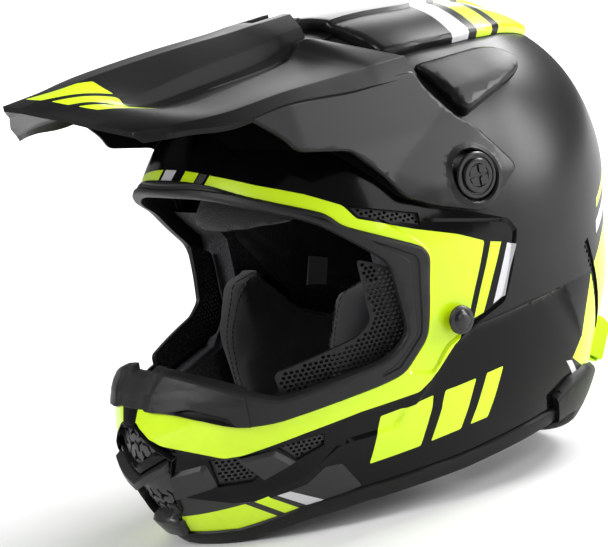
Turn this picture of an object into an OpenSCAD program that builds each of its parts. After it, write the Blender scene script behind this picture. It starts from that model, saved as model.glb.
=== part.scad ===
// Motocross helmet: moulded shell, energy-absorbing liners, eyeport and chin vents,
// and a tilting peak.  Millimetres.  The helmet stands on its chin and nape edge at z = 0.
// Front is -Y, the wearer's left is +X.  The origin is the middle of the neck opening.

/* [Shell] */
// Half of the shell's width
half_w = 120; // [114:1:126]
// Thickness of the moulded shell
shell_t = 3.2; // [2.6:0.1:3.4]
// Y of the shell's middle
mid_y = 8; // [4:1:12]
// Height of the shell's middle
mid_z = 125; // [121:1:129]

/* [Liners] */
// Depth of the foam liner below the outer surface
foam_depth = 33; // [28:1:33]
// Depth of the chin bar foam
chin_foam_depth = 24; // [18:1:26]
// Thickness of the cloth comfort liner
comfort_t = 6.5; // [4:0.5:9]
// Thickness of the cheek pads
pad_t = 25; // [20:1:28]

/* [Peak] */
// Height of the peak's pivot
pivot_z = 177; // [175:1:179]
// Y of the peak's pivot
pivot_y = -2; // [-4:1:0]
// Thickness of the peak
peak_t = 3; // [2.4:0.2:3.4]
// Radius of the pivot screw's shank
screw_r = 4; // [3.5:0.25:4.5]
// Radius of the pivot screw's head
head_r = 13; // [11:0.5:14]
// Length of the slot under the middle screw
slot_l = 28; // [26:1:30]

/* [Chin strap] */
// Width of the strap
strap_w = 19; // [17:1:19]
// Thickness of the strap
strap_t = 1.8; // [1.4:0.1:2]
// Radius of the D-ring wire
ring_r = 2; // [1.8:0.1:2]

/* [Hidden] */
$fn = 48;

far_off = 300;                  // further than any piece reaches
bush_r = 8;                     // outer radius of the peak's pivot bushes
fit = 0.05;                     // radial clearance of a shaft that turns
arm_x = 116.6;                  // inner face of the peak's arms at the pivot
arm_t = 3.6;                    // thickness of the arms at the pivot
head_x = arm_x + arm_t + 0.4;   // underside of the pivot screw's head
rivet_y = -28;                  // the chin strap's rivets
rivet_z = 102;
ring_a = [76, 40];              // hinge of the outer D-ring, as x and z
ring_b = [80.4, 37];            // hinge of the inner D-ring
ring_half = 12.5;               // half of the D-ring's width, at the wire's middle
ring_leg = 8;                   // straight part of the D-ring's sides
center_lean = 24;               // lean of the middle screw, forward of upright
center_r = 98;                  // distance of the peak's tongue from the pivot

// Shell outline: radius every 20 degrees and roundness every 30 degrees, counted from
// the rear (0) over the crown (90) and the front (180) to the neck (270)
outline_r = [132, 146, 154, 150, 140, 141, 145, 151, 156, 165, 203, 205, 180, 152, 140, 134,
  125, 128];
outline_p = [2.25, 2.3, 2.3, 2.3, 2.25, 2.15, 1.95, 1.75, 2.3, 3, 2.9, 2.5];

// A smooth closed curve through evenly spaced values
function ring_value(t, a) =
  let (n = len(t), s = a * n / 360, i = floor(s), f = s - i,
       p = t[(i + n - 1) % n], q = t[i % n], r = t[(i + 1) % n], v = t[(i + 2) % n])
  q + 0.5 * f * (r - p + f * (2 * p - 5 * q + 4 * r - v + f * (3 * (q - r) + v - p)));

// The point of the shell at angle a round the side view and b down from the left side,
// at depth d below the outer surface
function skin(a, b, d) =
  let (p = ring_value(outline_p, a),
       k = pow(pow(abs(sin(b)), p) + pow(abs(cos(b)), p), -1 / p),
       r = (ring_value(outline_r, a) - d) * sin(b) * k)
  [(half_w - d) * cos(b) * k, mid_y + r * cos(a), mid_z + r * sin(a)];

step = 10;                      // degrees between the points of the shell's surface
turns = 360 / step;
rows = 180 / step - 1;

// Half width of the shell at depth d, at a side-view point
function side_x(y, z, d) =
  let (a = (atan2(z - mid_z, y - mid_y) + 360) % 360, p = ring_value(outline_p, a))
  (half_w - d) * pow(1 - pow(norm([y - mid_y, z - mid_z]) / (ring_value(outline_r, a) - d), p),
    1 / p);

// Everything deeper than d below the shell's outer surface
module blob(d) {
  points = concat([skin(0, 0, d)],
    [for (j = [1:rows]) for (i = [0:turns - 1]) skin(i * step, j * step, d)],
    [skin(0, 180, d)]);
  last = rows * turns + 1;
  faces = concat(
    [for (i = [0:turns - 1]) [0, 1 + (i + 1) % turns, 1 + i]],
    [for (j = [0:rows - 2]) for (i = [0:turns - 1])
      [1 + j * turns + i, 1 + j * turns + (i + 1) % turns,
       1 + (j + 1) * turns + (i + 1) % turns, 1 + (j + 1) * turns + i]],
    [for (i = [0:turns - 1]) [last, last - turns + i, last - turns + (i + 1) % turns]]);
  polyhedron(points, faces, convexity = 4);
}

// The wall between two depths
module layer(d0, d1) difference() {
  blob(d0);
  blob(d1);
}

// Keeps its child as one smooth faceted piece
module smooth_piece() minkowski() {
  union() children();
}

// A side-view outline of [y, z] points, from x0 to x1
module side_cut(points, x0 = -far_off, x1 = far_off)
  translate([x0, 0, 0]) rotate([90, 0, 90]) linear_extrude(x1 - x0) polygon(points);

// The same outline, grown by g
module side_cut_grown(points, g, x0 = -far_off, x1 = far_off)
  translate([x0, 0, 0]) rotate([90, 0, 90]) linear_extrude(x1 - x0) offset(delta = g)
    polygon(points);

// A front-view outline of [x, z] points, from y0 to y1
module front_cut(points, y0, y1, g = 0)
  translate([0, y1, 0]) rotate([90, 0, 0]) linear_extrude(y1 - y0) offset(delta = g)
    polygon(points);

// Side 1 is the left, as drawn, and -1 the right
module on_side(side) mirror([side > 0 ? 0 : 1, 0, 0]) children();

// A round bar along +X
module bar_x(r, x0, x1, y, z) translate([x0, y, z]) rotate([0, 90, 0]) cylinder(r = r, h = x1 - x0);

// Mirrors the right half of a front-view outline, given from top to bottom
function both(points) = concat(points,
  [for (i = [len(points) - 1:-1:0]) [-points[i][0], points[i][1]]]);

// ---- outlines, in round millimetres ----
// Edge of the eyeport
port = [[-260, 196], [-128, 195], [-115, 186], [-90, 172], [-60, 142], [-58, 101], [-71, 91],
  [-127, 82], [-142, 90], [-160, 101], [-168, 106], [-260, 110]];
// Outer edge of the rubber round the eyeport
port_outer = [[-260, 206], [-124, 204], [-112, 192], [-80, 172], [-40, 146], [-38, 142],
  [-46, 97], [-62, 80], [-75, 77], [-130, 69], [-146, 70], [-173, 84], [-260, 90]];
// Bottom edge of the helmet
rim = [[-260, 0], [-146, 0], [-119, 8], [-90, 12], [-28, 16], [20, 22], [45, 25], [52, 25],
  [60, 14], [66, 0], [200, 0]];
// Top edge of the nape bumper
bumper_top = [[33.3, 42], [45, 47], [62, 49], [85, 42], [200, 34]];
// Mouth vent, right half in front view
mouth = [[7, 77], [30, 57], [26, 48], [20, 26], [9, 13]];
side_vent_front = [[-161, 53], [-150, 53], [-139, 41], [-142, 36], [-154, 36]];
side_vent_back = [[-131, 54], [-107, 57], [-108, 50], [-122, 46]];
brow_slot = [[-80, 180], [-38, 164], [-38, 158], [-76, 174]];
crown_slot = [[-34, 270], [-8, 270], [-8, 236], [-34, 236]];
rear_slot = [[72, 118], [78, 120], [88, 62], [82, 64]];
cheek = [[-76, 46], [-78, 92], [-64, 124], [-46, 128], [-26, 102], [0, 86], [30, 80], [48, 70],
  [50, 52], [30, 44], [-6, 48], [-50, 48]];
comfort = [[-44, 134], [-57, 150], [-60, 172], [-60, 290], [200, 290], [200, 60], [54, 60],
  [52, 76], [32, 86], [2, 92], [-23, 108]];
brow = [[-61, 176], [-61, 290], [-200, 290], [-200, 165], [-110, 172]];
scoop = [[-2, 238], [44, 237], [54, 234], [60, 225], [57, 219], [9, 206]];
arm = [[-107, 236], [-104, 216], [-70, 207], [-56, 190], [-48, 176], [-30, 167], [-5, 158],
  [3, 158], [27, 174], [26, 179], [10, 203], [3, 208], [-12, 230], [-14, 239]];

function raised(points, dz) = [for (p = points) [p[0], p[1] + dz]];
function flipped(points) = [for (i = [len(points) - 1:-1:0]) points[i]];

// Everything under a line that runs from front to rear
module below(line) side_cut(concat(line, [[line[len(line) - 1][0], -far_off],
  [line[0][0], -far_off]]));

// A band between two lines
module band(low, high) side_cut(concat(low, flipped(high)));

// ---- shell and liners ----
module shell_holes() {
  below(raised(rim, 4));
  side_cut_grown(port, 6);
  front_cut(both(mouth), -far_off, -100);
  side_cut(side_vent_front);
  side_cut(side_vent_back);
  side_cut(brow_slot);
  for (s = [-1, 1])
    on_side(s) {
      side_cut(crown_slot, 30, 62);
      side_cut(rear_slot, 40);
      bar_x(6.8, 100, 130, pivot_y, pivot_z);
      bar_x(3.4, 100, 130, rivet_y, rivet_z);
    }
  center_axis() cylinder(r = 5.2, h = 110);
}

// Places its child along the middle screw, with z counted from the peak's pivot axis
module center_axis() translate([0, pivot_y, pivot_z]) rotate([center_lean, 0, 0]) children();

module outer_shell() color("#1b1b1d") smooth_piece() difference() {
  layer(0, shell_t);
  shell_holes();
}

module strap_channel() side_cut([[-46, -50], [-46, 116], [-10, 116], [-10, -50]]);

// Places its child at each snap, with z counted outwards from the foam's inner face
module snap_places() for (s = [-1, 1], p = [[4, 74], [34, 70], [20, 54]])
  on_side(s) translate([side_x(p[0], p[1], foam_depth), p[0], p[1]]) rotate([0, 90, 0])
    children();

module foam_holes() {
  below(raised(rim, 12));
  side_cut_grown(port, 10);
  strap_channel();
  for (s = [-1, 1]) on_side(s) bar_x(11, 90, 130, pivot_y, pivot_z);
  center_axis() cylinder(r = 11, h = 110);
  side_cut_grown(side_vent_front, 4);
  side_cut_grown(side_vent_back, 4);
  side_cut_grown(brow_slot, 4);
  front_cut(both(mouth), -far_off, -100, 4);
}

module eps_crown_liner() color("#3a3a3c") smooth_piece() difference() {
  layer(shell_t + 0.6, foam_depth);
  foam_holes();
  side_cut([[-far_off, -50], [-far_off, 130], [-100, 130], [-100, 92], [-47, 92], [-47, -50]]);
  translate([-12, 30, 60]) cube([24, 110, 50]);
  snap_places() translate([0, 0, -5]) cylinder(r = 5.4, h = 16);
}

module eps_chin_bar() color("#3a3a3c") smooth_piece() difference() {
  intersection() {
    layer(shell_t + 0.6, chin_foam_depth);
    side_cut([[-far_off, 0], [-far_off, 91], [-48, 91], [-48, 0]]);
  }
  foam_holes();
}

module comfort_liner() color("#2a2a2c") smooth_piece() difference() {
  intersection() {
    layer(foam_depth + 0.6, foam_depth + comfort_t);
    side_cut(comfort);
  }
  snap_places() translate([0, 0, -12]) cylinder(r = 9, h = 20);
}

module brow_pad() color("#242426") smooth_piece() intersection() {
  layer(foam_depth + 0.6, foam_depth + comfort_t + 4);
  side_cut(brow);
}

module cheek_pad(side) color("#4a4a4e") on_side(side) smooth_piece() difference() {
  intersection() {
    layer(foam_depth + 0.6, foam_depth + pad_t);
    side_cut(cheek, 44);
  }
  snap_places() translate([0, 0, -9]) cylinder(r = 8.5, h = 20);
}

module cheek_pad_snaps() color("#d8d8d8") snap_places() {
  translate([0, 0, -8.6]) cylinder(r = 8, h = 4);
  translate([0, 0, -5]) cylinder(r = 5, h = 14);
}

module liner_label() color("#bdbdbd") smooth_piece() intersection() {
  layer(foam_depth + comfort_t + 0.3, foam_depth + comfort_t + 0.9);
  side_cut([[2, 94], [-1, 119], [15, 122], [18, 97]], -far_off, 0);
}

// ---- rubber and vents ----
module port_band() difference() {
  union() {
    intersection() {
      layer(-2.6, -0.3);
      side_cut(port_outer);
    }
    intersection() {
      layer(-1, 12);
      side_cut_grown(port, 5.6);
    }
  }
  side_cut(port);
}

module eyeport_trim() color("#222222") smooth_piece() difference() {
  port_band();
  side_cut([[-far_off, 0], [-far_off, 150], [-140, 150], [-140, 0]]);
}

module nose_guard() color("#2c2c2c") smooth_piece() intersection() {
  difference() {
    union() {
      intersection() {
        layer(-2.6, -0.3);
        side_cut(port_outer);
      }
      intersection() {
        layer(-3.6, 26);
        side_cut_grown(port, 5.2);
      }
    }
    side_cut(port);
  }
  side_cut([[-far_off, 50], [-far_off, 140], [-140.4, 140], [-140.4, 50]]);
}

module eyeport_mesh(side) color("#303030") on_side(side) smooth_piece() intersection() {
  difference() {
    layer(12.6, 15);
    side_cut([[-260, 185], [-110, 183], [-88, 162], [-76, 138], [-74, 108], [-84, 102],
      [-128, 94], [-260, 98]]);
  }
  side_cut([[-76, 150], [-64, 142], [-56, 138], [-52, 100], [-64, 86], [-128, 77], [-128, 96],
    [-84, 104], [-76, 110]], 0);
}

module base_trim() color("#1d1d1d") smooth_piece() difference() {
  union() {
    intersection() {
      layer(-2, -0.3);
      band(rim, raised(rim, 9));
    }
    intersection() {
      layer(-1, 7);
      band(rim, raised(rim, 3.7));
    }
  }
  translate([-far_off, 33, -far_off]) cube([2 * far_off, far_off, 2 * far_off]);
}

module rear_bumper() color("#1d1d1d") smooth_piece() difference() {
  union() {
    intersection() {
      layer(-5, -0.3);
      band(rim, bumper_top);
    }
    intersection() {
      layer(-1, 7);
      band(rim, raised(rim, 3.7));
    }
  }
  translate([-far_off, -far_off, -far_off]) cube([2 * far_off, far_off + 33.3, 2 * far_off]);
}

module chin_vent_frame() color("#0c0c0c") smooth_piece() intersection() {
  layer(-1.5, 9);
  difference() {
    front_cut(both(mouth), -far_off, -100, -0.4);
    front_cut(both(mouth), -far_off, -100, -3.5);
  }
}

module chin_vent_ledge() color("#151515") smooth_piece() intersection() {
  layer(-4, 9);
  front_cut([[-21, 43], [0, 34], [21, 43], [21, 49], [0, 41], [-21, 49]], -far_off, -100);
}

module chin_vent_mesh() color("#6a6a6a") smooth_piece() intersection() {
  layer(9.4, 11.6);
  front_cut(both(mouth), -far_off, -100, 2);
}

module chin_side_mesh(side) color("#3c3c3c") on_side(side) smooth_piece() intersection() {
  layer(shell_t + 0.4, shell_t + 2);
  union() {
    side_cut_grown(side_vent_front, 2.5, 34);
    side_cut_grown(side_vent_back, 2.5, 34);
  }
}

module brow_vent_mesh(side) color("#2c2c2c") on_side(side) smooth_piece() intersection() {
  layer(shell_t + 0.4, shell_t + 2);
  side_cut_grown(brow_slot, 2.5, 0);
}

module crown_ridge() color("#d9ff00") smooth_piece() difference() {
  intersection() {
    layer(-6, -0.3);
    side_cut([[-4, 236], [-4, 300], [96, 300], [88, 214], [70, 232], [40, 246]]);
    translate([-46, -100, 0]) cube([92, 300, 400]);
  }
  side_cut(crown_slot);
}

module crown_intake_mesh() color("#2c2c2c") for (s = [-1, 1]) on_side(s)
  smooth_piece() intersection() {
    layer(0.4, 2.8);
    side_cut_grown(crown_slot, -0.4, 30.4, 61.6);
  }

module side_scoop(side) color("#232325") on_side(side) smooth_piece() intersection() {
  difference() {
    layer(-9, -0.3);
    intersection() {
      layer(-7, -0.3);
      side_cut([[-20, 190], [-20, 260], [40, 234], [44, 222]]);
    }
  }
  side_cut(scoop, 50);
}

module rear_vent_mesh() color("#101010") for (s = [-1, 1]) on_side(s)
  smooth_piece() intersection() {
    layer(0.4, 2.8);
    side_cut_grown(rear_slot, -0.4, 40.4);
  }

module rear_spoiler() color("#d9ff00") smooth_piece() intersection() {
  layer(-9, -0.3);
  side_cut([[78, 66], [200, 62], [200, 36], [84, 42.6], [82, 50]]);
  translate([-72, 0, 0]) cube([144, 200, 200]);
}

// ---- peak ----
// Cross-sections of the peak's upper surface from its front edge to its rear edge,
// each from the middle line out to the side
peak_rows = [
  [[0, -213, 266], [12, -208, 265], [32, -198, 259], [36, -196, 257], [60, -183, 247],
    [88, -163, 240], [93, -158, 235]],
  [[0, -160, 271], [11, -158, 271], [32, -147, 257], [34, -145, 252], [62, -135, 248],
    [97, -131, 241], [99, -131, 235]],
  [[0, -112, 274], [12, -112, 274], [33, -108, 261], [34, -110, 256], [59, -100, 249],
    [99, -97, 240], [101, -97, 235]],
  [[0, -74, 276], [13, -74, 275], [34, -72, 266], [35, -74, 260], [55, -66, 252],
    [100, -60, 240], [102, -60, 234]],
  [[0, -32, 278], [15, -32, 277], [35, -38, 270], [36, -42, 263], [54, -42, 262],
    [97, -15, 240], [100, -13, 234]]];

module peak_shell() {
  cols = 7;
  wide = 2 * cols - 1;
  // A row across the whole width, lowered by the thickness for the underside
  function full(row, drop) = concat(
    [for (i = [cols - 1:-1:1]) [-row[i][0] + drop * (i > 4 ? 0.9 : 0), row[i][1], row[i][2] - drop]],
    [for (i = [0:cols - 1]) [row[i][0] - drop * (i > 4 ? 0.9 : 0), row[i][1], row[i][2] - drop]]);
  top = [for (r = peak_rows) each full(r, 0)];
  under = [for (r = peak_rows) each full(r, peak_t)];
  n = len(top);
  m = len(peak_rows);
  function quad(a, b, c, d) = [[a, b, c], [a, c, d]];
  faces = concat(
    [for (j = [0:m - 2]) for (i = [0:wide - 2])
      each quad(j * wide + i, (j + 1) * wide + i, (j + 1) * wide + i + 1, j * wide + i + 1)],
    [for (j = [0:m - 2]) for (i = [0:wide - 2])
      each quad(n + j * wide + i, n + j * wide + i + 1, n + (j + 1) * wide + i + 1,
        n + (j + 1) * wide + i)],
    [for (i = [0:wide - 2]) each quad(i, i + 1, n + i + 1, n + i)],
    [for (i = [0:wide - 2]) let (b = (m - 1) * wide)
      each quad(b + i + 1, b + i, n + b + i, n + b + i + 1)],
    [for (j = [0:m - 2]) each quad((j + 1) * wide, j * wide, n + j * wide, n + (j + 1) * wide)],
    [for (j = [0:m - 2]) let (e = wide - 1)
      each quad(j * wide + e, (j + 1) * wide + e, n + (j + 1) * wide + e, n + j * wide + e)]);
  polyhedron(concat(top, under), faces, convexity = 6);
}

// The space inside the arms' flat sides, from the left to the right, grown by g
module arm_space(g) front_cut(both([[101 + g - 3.6, 239], [110 + g - 3.6, 207],
  [arm_x + g, 177], [arm_x + g + 3.8, 150]]), -200, 100);

module peak_arms() intersection() {
  difference() {
    arm_space(arm_t);
    arm_space(0);
  }
  side_cut(arm);
}

module visor() color("#242426") smooth_piece() difference() {
  union() {
    peak_shell();
    peak_arms();
    // bosses round the pivot screws
    for (s = [-1, 1]) on_side(s) difference() {
      bar_x(head_r + 1.6, 110, arm_x + arm_t + 0.1, pivot_y, pivot_z);
      blob(-1.6);
    }
    // curved tongue under the middle screw, and its webs to the peak
    difference() {
      union() {
        intersection() {
          bar_x(center_r + 1.2, -13, 13, pivot_y, pivot_z);
          center_axis() translate([-20, -3.4 - slot_l / 2, 50]) cube([40, 6.8 + slot_l, 60]);
        }
        for (x = [-13, 10.6])
          translate([x, -55, 250]) cube([2.4, 21, 24.7]);
      }
      bar_x(center_r - 1.2, -20, 20, pivot_y, pivot_z);
    }
  }
  for (s = [-1, 1]) on_side(s) {
    bar_x(bush_r + 0.2, 100, 140, pivot_y, pivot_z);
    bar_x(head_r + 1, arm_x + arm_t, 140, pivot_y, pivot_z);
  }
  center_axis() {
    translate([-3.5, -slot_l / 2, 80]) cube([7, slot_l, 40]);
    translate([-8, -slot_l / 2 - 6, center_r + 1.4]) cube([16, slot_l + 12, 5.4]);
  }
}

module visor_bush(side) color("#8c8c90") on_side(side) difference() {
  bar_x(bush_r, arm_x - 0.4, arm_x + arm_t, pivot_y, pivot_z);
  bar_x(screw_r + fit, 100, 140, pivot_y, pivot_z);
}

module visor_screw(side) color("#1a1a1a") on_side(side) difference() {
  union() {
    bar_x(screw_r, 101, head_x + 1, pivot_y, pivot_z);
    bar_x(head_r, head_x, head_x + 2, pivot_y, pivot_z);
    bar_x(head_r - 2.5, head_x + 1.5, head_x + 4, pivot_y, pivot_z);
  }
  for (a = [0, 90])
    translate([head_x + 4, pivot_y, pivot_z]) rotate([a, 0, 0]) cube([3, 12, 3], center = true);
}

module visor_nut(side) color("#b9a05a") on_side(side) difference() {
  union() {
    bar_x(6.3, 98, 114.2, pivot_y, pivot_z);
    bar_x(10, 98, 100, pivot_y, pivot_z);
  }
  bar_x(screw_r + fit, 90, 120, pivot_y, pivot_z);
}

module visor_center_screw() color("#1a1a1a") center_axis() difference() {
  union() {
    translate([0, 0, 72]) cylinder(r = 3, h = center_r - 70);
    translate([0, 0, center_r + 1.6]) cylinder(r = 7, h = 3.4);
  }
  translate([0, 0, center_r + 4.6]) cube([9, 1.6, 2], center = true);
}

module visor_center_nut() color("#b9a05a") center_axis() difference() {
  union() {
    translate([0, 0, 70]) cylinder(r = 4.6, h = 19);
    translate([0, 0, 70]) cylinder(r = 9, h = 2);
  }
  translate([0, 0, 60]) cylinder(r = 3 + fit, h = 40);
}

// ---- chin strap ----
function unit(v) = v / norm(v);
// One edge of a strip that follows a path, t to its side
function strip_edge(p, t) = [for (i = [0:len(p) - 1])
  let (a = unit(i == 0 ? p[1] - p[0] : p[i] - p[i - 1]),
       b = i == len(p) - 1 ? a : unit(p[i + 1] - p[i]),
       m = unit(a + b))
  p[i] + t * [-m[1], m[0]]];
module webbing(path, w = strap_w) translate([0, rivet_y + w / 2, 0]) rotate([90, 0, 0])
  linear_extrude(w)
    polygon(concat(strip_edge(path, strap_t / 2), flipped(strip_edge(path, -strap_t / 2))));

strap_top = [[109.5, 108], [109.5, 94], [105, 70], [95, 52]];
strap_tail = [[88, 34], [82, 14], [75, 5], [66, 1.6], [12, 1.6], [7, 2.8], [6.5, 4.2],
  [12, 6.2], [60, 6.2]];

module chin_strap_left() color("#2b2b2b") difference() {
  union() {
    webbing(concat(strap_top, [[84, 45], [79.8, 41]]));
    for (c = [ring_a, ring_b]) bar_y(3.9, strap_w, c);
    translate([0, rivet_y + strap_w / 2, 0]) rotate([90, 0, 0]) linear_extrude(strap_w)
      polygon([ring_a + [-1.8, -3.4], ring_b + [-1.8, -3.4], ring_b + [2.2, 3.2],
        ring_a + [2.2, 3.2]]);
  }
  for (c = [ring_a, ring_b]) bar_y(ring_r + fit, 60, c);
  bar_x(3.3, 100, 120, rivet_y, rivet_z);
}

// A round bar along Y, centred on the strap
module bar_y(r, w, at) translate([at[0], rivet_y + w / 2, at[1]]) rotate([90, 0, 0])
  cylinder(r = r, h = w);

module chin_strap_right() color("#2b2b2b") mirror([1, 0, 0]) difference() {
  webbing(concat(strap_top, strap_tail));
  bar_x(3.3, 100, 120, rivet_y, rivet_z);
  translate([52, rivet_y, 4]) cylinder(r = 2.2, h = 6);
}

module strap_snap() color("#a8a8ac") mirror([1, 0, 0]) translate([52, rivet_y, 0]) {
  translate([0, 0, 2.7]) cylinder(r = 5, h = 2.4);
  translate([0, 0, 3]) cylinder(r = 2, h = 5);
  translate([0, 0, 7.3]) cylinder(r = 6, h = 2);
}

module d_ring(at) color("#b8b8bc") translate([at[0], rivet_y, at[1]]) {
  translate([0, ring_half, 0]) rotate([90, 0, 0]) cylinder(r = ring_r, h = 2 * ring_half);
  for (s = [-1, 1]) {
    translate([0, s * ring_half, 0]) sphere(r = ring_r);
    translate([0, s * ring_half, -ring_leg]) cylinder(r = ring_r, h = ring_leg);
  }
  translate([0, 0, -ring_leg]) rotate([0, 90, 0]) rotate([0, 0, -90])
    rotate_extrude(angle = 180) translate([ring_half, 0]) circle(r = ring_r);
}

module strap_rivet(side) color("#161616") on_side(side) {
  bar_x(3, 107.2, 121, rivet_y, rivet_z);
  bar_x(8, 118.4, 120.4, rivet_y, rivet_z);
  bar_x(5, 120, 122.4, rivet_y, rivet_z);
  bar_x(6, 107, 108.3, rivet_y, rivet_z);
}

outer_shell();
eps_crown_liner();
eps_chin_bar();
comfort_liner();
brow_pad();
cheek_pad(1);  // cheek_pad_left
cheek_pad(-1);  // cheek_pad_right
cheek_pad_snaps();
liner_label();
eyeport_trim();
nose_guard();
eyeport_mesh(1);  // eyeport_mesh_left
eyeport_mesh(-1);  // eyeport_mesh_right
base_trim();
rear_bumper();
chin_vent_frame();
chin_vent_ledge();
chin_vent_mesh();
chin_side_mesh(1);  // chin_side_mesh_left
chin_side_mesh(-1);  // chin_side_mesh_right
brow_vent_mesh(1);  // brow_vent_mesh_left
brow_vent_mesh(-1);  // brow_vent_mesh_right
crown_ridge();
crown_intake_mesh();
side_scoop(1);  // side_scoop_left
side_scoop(-1);  // side_scoop_right
rear_vent_mesh();
rear_spoiler();
visor();
visor_bush(1);  // visor_bush_left
visor_bush(-1);  // visor_bush_right
visor_screw(1);  // visor_screw_left
visor_screw(-1);  // visor_screw_right
visor_nut(1);  // visor_nut_left
visor_nut(-1);  // visor_nut_right
visor_center_screw();
visor_center_nut();
strap_rivet(1);  // strap_rivet_left
strap_rivet(-1);  // strap_rivet_right
chin_strap_left();
chin_strap_right();
d_ring(ring_a);  // d_ring_outer
d_ring(ring_b);  // d_ring_inner
strap_snap();
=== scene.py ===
import math

import bmesh
import bpy
import numpy as np
from mathutils import Matrix, Vector


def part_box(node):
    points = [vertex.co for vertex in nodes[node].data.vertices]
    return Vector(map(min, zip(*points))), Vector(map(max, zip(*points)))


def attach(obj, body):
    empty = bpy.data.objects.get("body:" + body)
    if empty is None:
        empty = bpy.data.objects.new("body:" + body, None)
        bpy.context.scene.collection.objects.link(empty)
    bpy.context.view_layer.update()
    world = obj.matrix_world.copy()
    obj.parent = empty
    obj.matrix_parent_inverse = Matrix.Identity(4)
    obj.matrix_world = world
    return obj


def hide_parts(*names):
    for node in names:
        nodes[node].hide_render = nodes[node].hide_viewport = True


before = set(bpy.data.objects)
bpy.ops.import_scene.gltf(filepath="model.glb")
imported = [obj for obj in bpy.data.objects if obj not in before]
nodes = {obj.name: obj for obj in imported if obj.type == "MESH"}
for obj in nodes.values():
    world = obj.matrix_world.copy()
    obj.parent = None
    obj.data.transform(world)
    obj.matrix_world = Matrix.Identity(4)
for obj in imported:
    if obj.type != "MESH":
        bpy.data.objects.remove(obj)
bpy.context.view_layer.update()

MM = 0.001

# ---------------------------------------------------------------- the shell's surface
HALF_W, MID_Y, MID_Z = 120.0, 8.0, 125.0
SHELL_T = 3.2
# Radius every 20 degrees and roundness every 30 degrees, from the rear over the crown
OUTLINE_R = [132, 146, 154, 150, 140, 141, 145, 151, 156, 165, 203, 205, 180, 152, 140, 134,
             125, 128]
OUTLINE_P = [2.25, 2.3, 2.3, 2.3, 2.25, 2.15, 1.95, 1.75, 2.3, 3, 2.9, 2.5]


def ring_value(table, degrees):
    """A smooth closed curve through evenly spaced values."""
    table = np.array(table, float)
    place = np.mod(degrees, 360) / 360 * len(table)
    i = np.floor(place).astype(int)
    f = place - i
    p, q, r, v = (table[(i + k) % len(table)] for k in (-1, 0, 1, 2))
    return q + 0.5 * f * (r - p + f * (2 * p - 5 * q + 4 * r - v + f * (3 * (q - r) + v - p)))


def skin(around, down):
    """Points of the outer surface, at an angle round the side view and one down from the left."""
    p = ring_value(OUTLINE_P, around)
    c, s = np.cos(np.radians(down)), np.sin(np.radians(down))
    k = (np.abs(s) ** p + np.abs(c) ** p) ** (-1 / p)
    r = ring_value(OUTLINE_R, around) * s * k
    turn = np.radians(around)
    return np.stack([HALF_W * c * k, MID_Y + r * np.cos(turn), MID_Z + r * np.sin(turn)], -1)


def at_depth(points, depth):
    """Moves points of the outer surface inwards by depth."""
    out = points.copy()
    around = np.degrees(np.arctan2(points[:, 2] - MID_Z, points[:, 1] - MID_Y))
    shrink = 1 - depth / ring_value(OUTLINE_R, around)
    out[:, 0] = points[:, 0] * (1 - depth / HALF_W)
    out[:, 1] = MID_Y + (points[:, 1] - MID_Y) * shrink
    out[:, 2] = MID_Z + (points[:, 2] - MID_Z) * shrink
    return out


# ---------------------------------------------------------------- outlines
def rounded(before, here, after, size, most, n):
    """n points round a corner, which starts at size from it or at most that share of a side."""
    a, b = before - here, after - here
    la, lb = np.linalg.norm(a), np.linalg.norm(b)
    cut_back = min(size, most * la, most * lb)
    start, end = here + a / la * cut_back, here + b / lb * cut_back
    return [(1 - t) ** 2 * start + 2 * t * (1 - t) * here + t * t * end
            for t in np.linspace(0, 1, n)]


def soft(points, size=3.0, n=3):
    """Rounds an outline's corners."""
    pts = [np.array(p, float) for p in points]
    return [tuple(p) for corner in zip(pts[-1:] + pts[:-1], pts, pts[1:] + pts[:1])
            for p in rounded(*corner, size, 0.45, n + 1)]


def inset(points, distance):
    """An outline moved inwards, or outwards for a negative distance."""
    pts = np.array(points, float)
    after = np.roll(pts, -1, 0) - pts
    keep = np.linalg.norm(after, axis=1) > 1e-6
    pts = pts[keep]
    after = np.roll(pts, -1, 0) - pts
    before = pts - np.roll(pts, 1, 0)
    area = np.sum(pts[:, 0] * np.roll(pts[:, 1], -1) - np.roll(pts[:, 0], -1) * pts[:, 1])
    side = 1 if area > 0 else -1
    na, nb = (side * np.stack([-e[:, 1], e[:, 0]], 1) / np.linalg.norm(e, axis=1)[:, None]
              for e in (before, after))
    mid = na + nb
    mid /= np.linalg.norm(mid, axis=1)[:, None]
    stretch = 1 / np.clip(np.sum(mid * na, axis=1), 0.5, 1)
    return [tuple(p) for p in pts + mid * (distance * stretch)[:, None]]


def inside(points, outline):
    """Distance of each 2-D point to the outline, positive inside."""
    a = np.array(outline, float)
    b = np.roll(a, -1, 0)
    p = np.asarray(points, float)[:, None, :]
    edge = b - a
    t = np.clip(np.sum((p - a) * edge, 2) / np.maximum(np.sum(edge * edge, 1), 1e-12), 0, 1)
    gap = np.linalg.norm(p - (a + t[..., None] * edge), axis=2).min(1)
    above = (a[:, 1] > p[..., 1]) != (b[:, 1] > p[..., 1])
    rise = np.where(np.abs(edge[:, 1]) < 1e-12, 1e-12, edge[:, 1])
    crossing = p[..., 0] < (p[..., 1] - a[:, 1]) / rise * edge[:, 0] + a[:, 0]
    return np.where(np.sum(above & crossing, 1) % 2 == 1, gap, -gap)


def raised(points, dz):
    """An outline moved up."""
    return [(p[0], p[1] + dz) for p in points]


def band(low, high):
    """The area between two lines."""
    return list(low) + list(reversed(high))


def both(points):
    """A half outline and its mirror image."""
    return list(points) + [(-p[0], p[1]) for p in reversed(points)]


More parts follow.
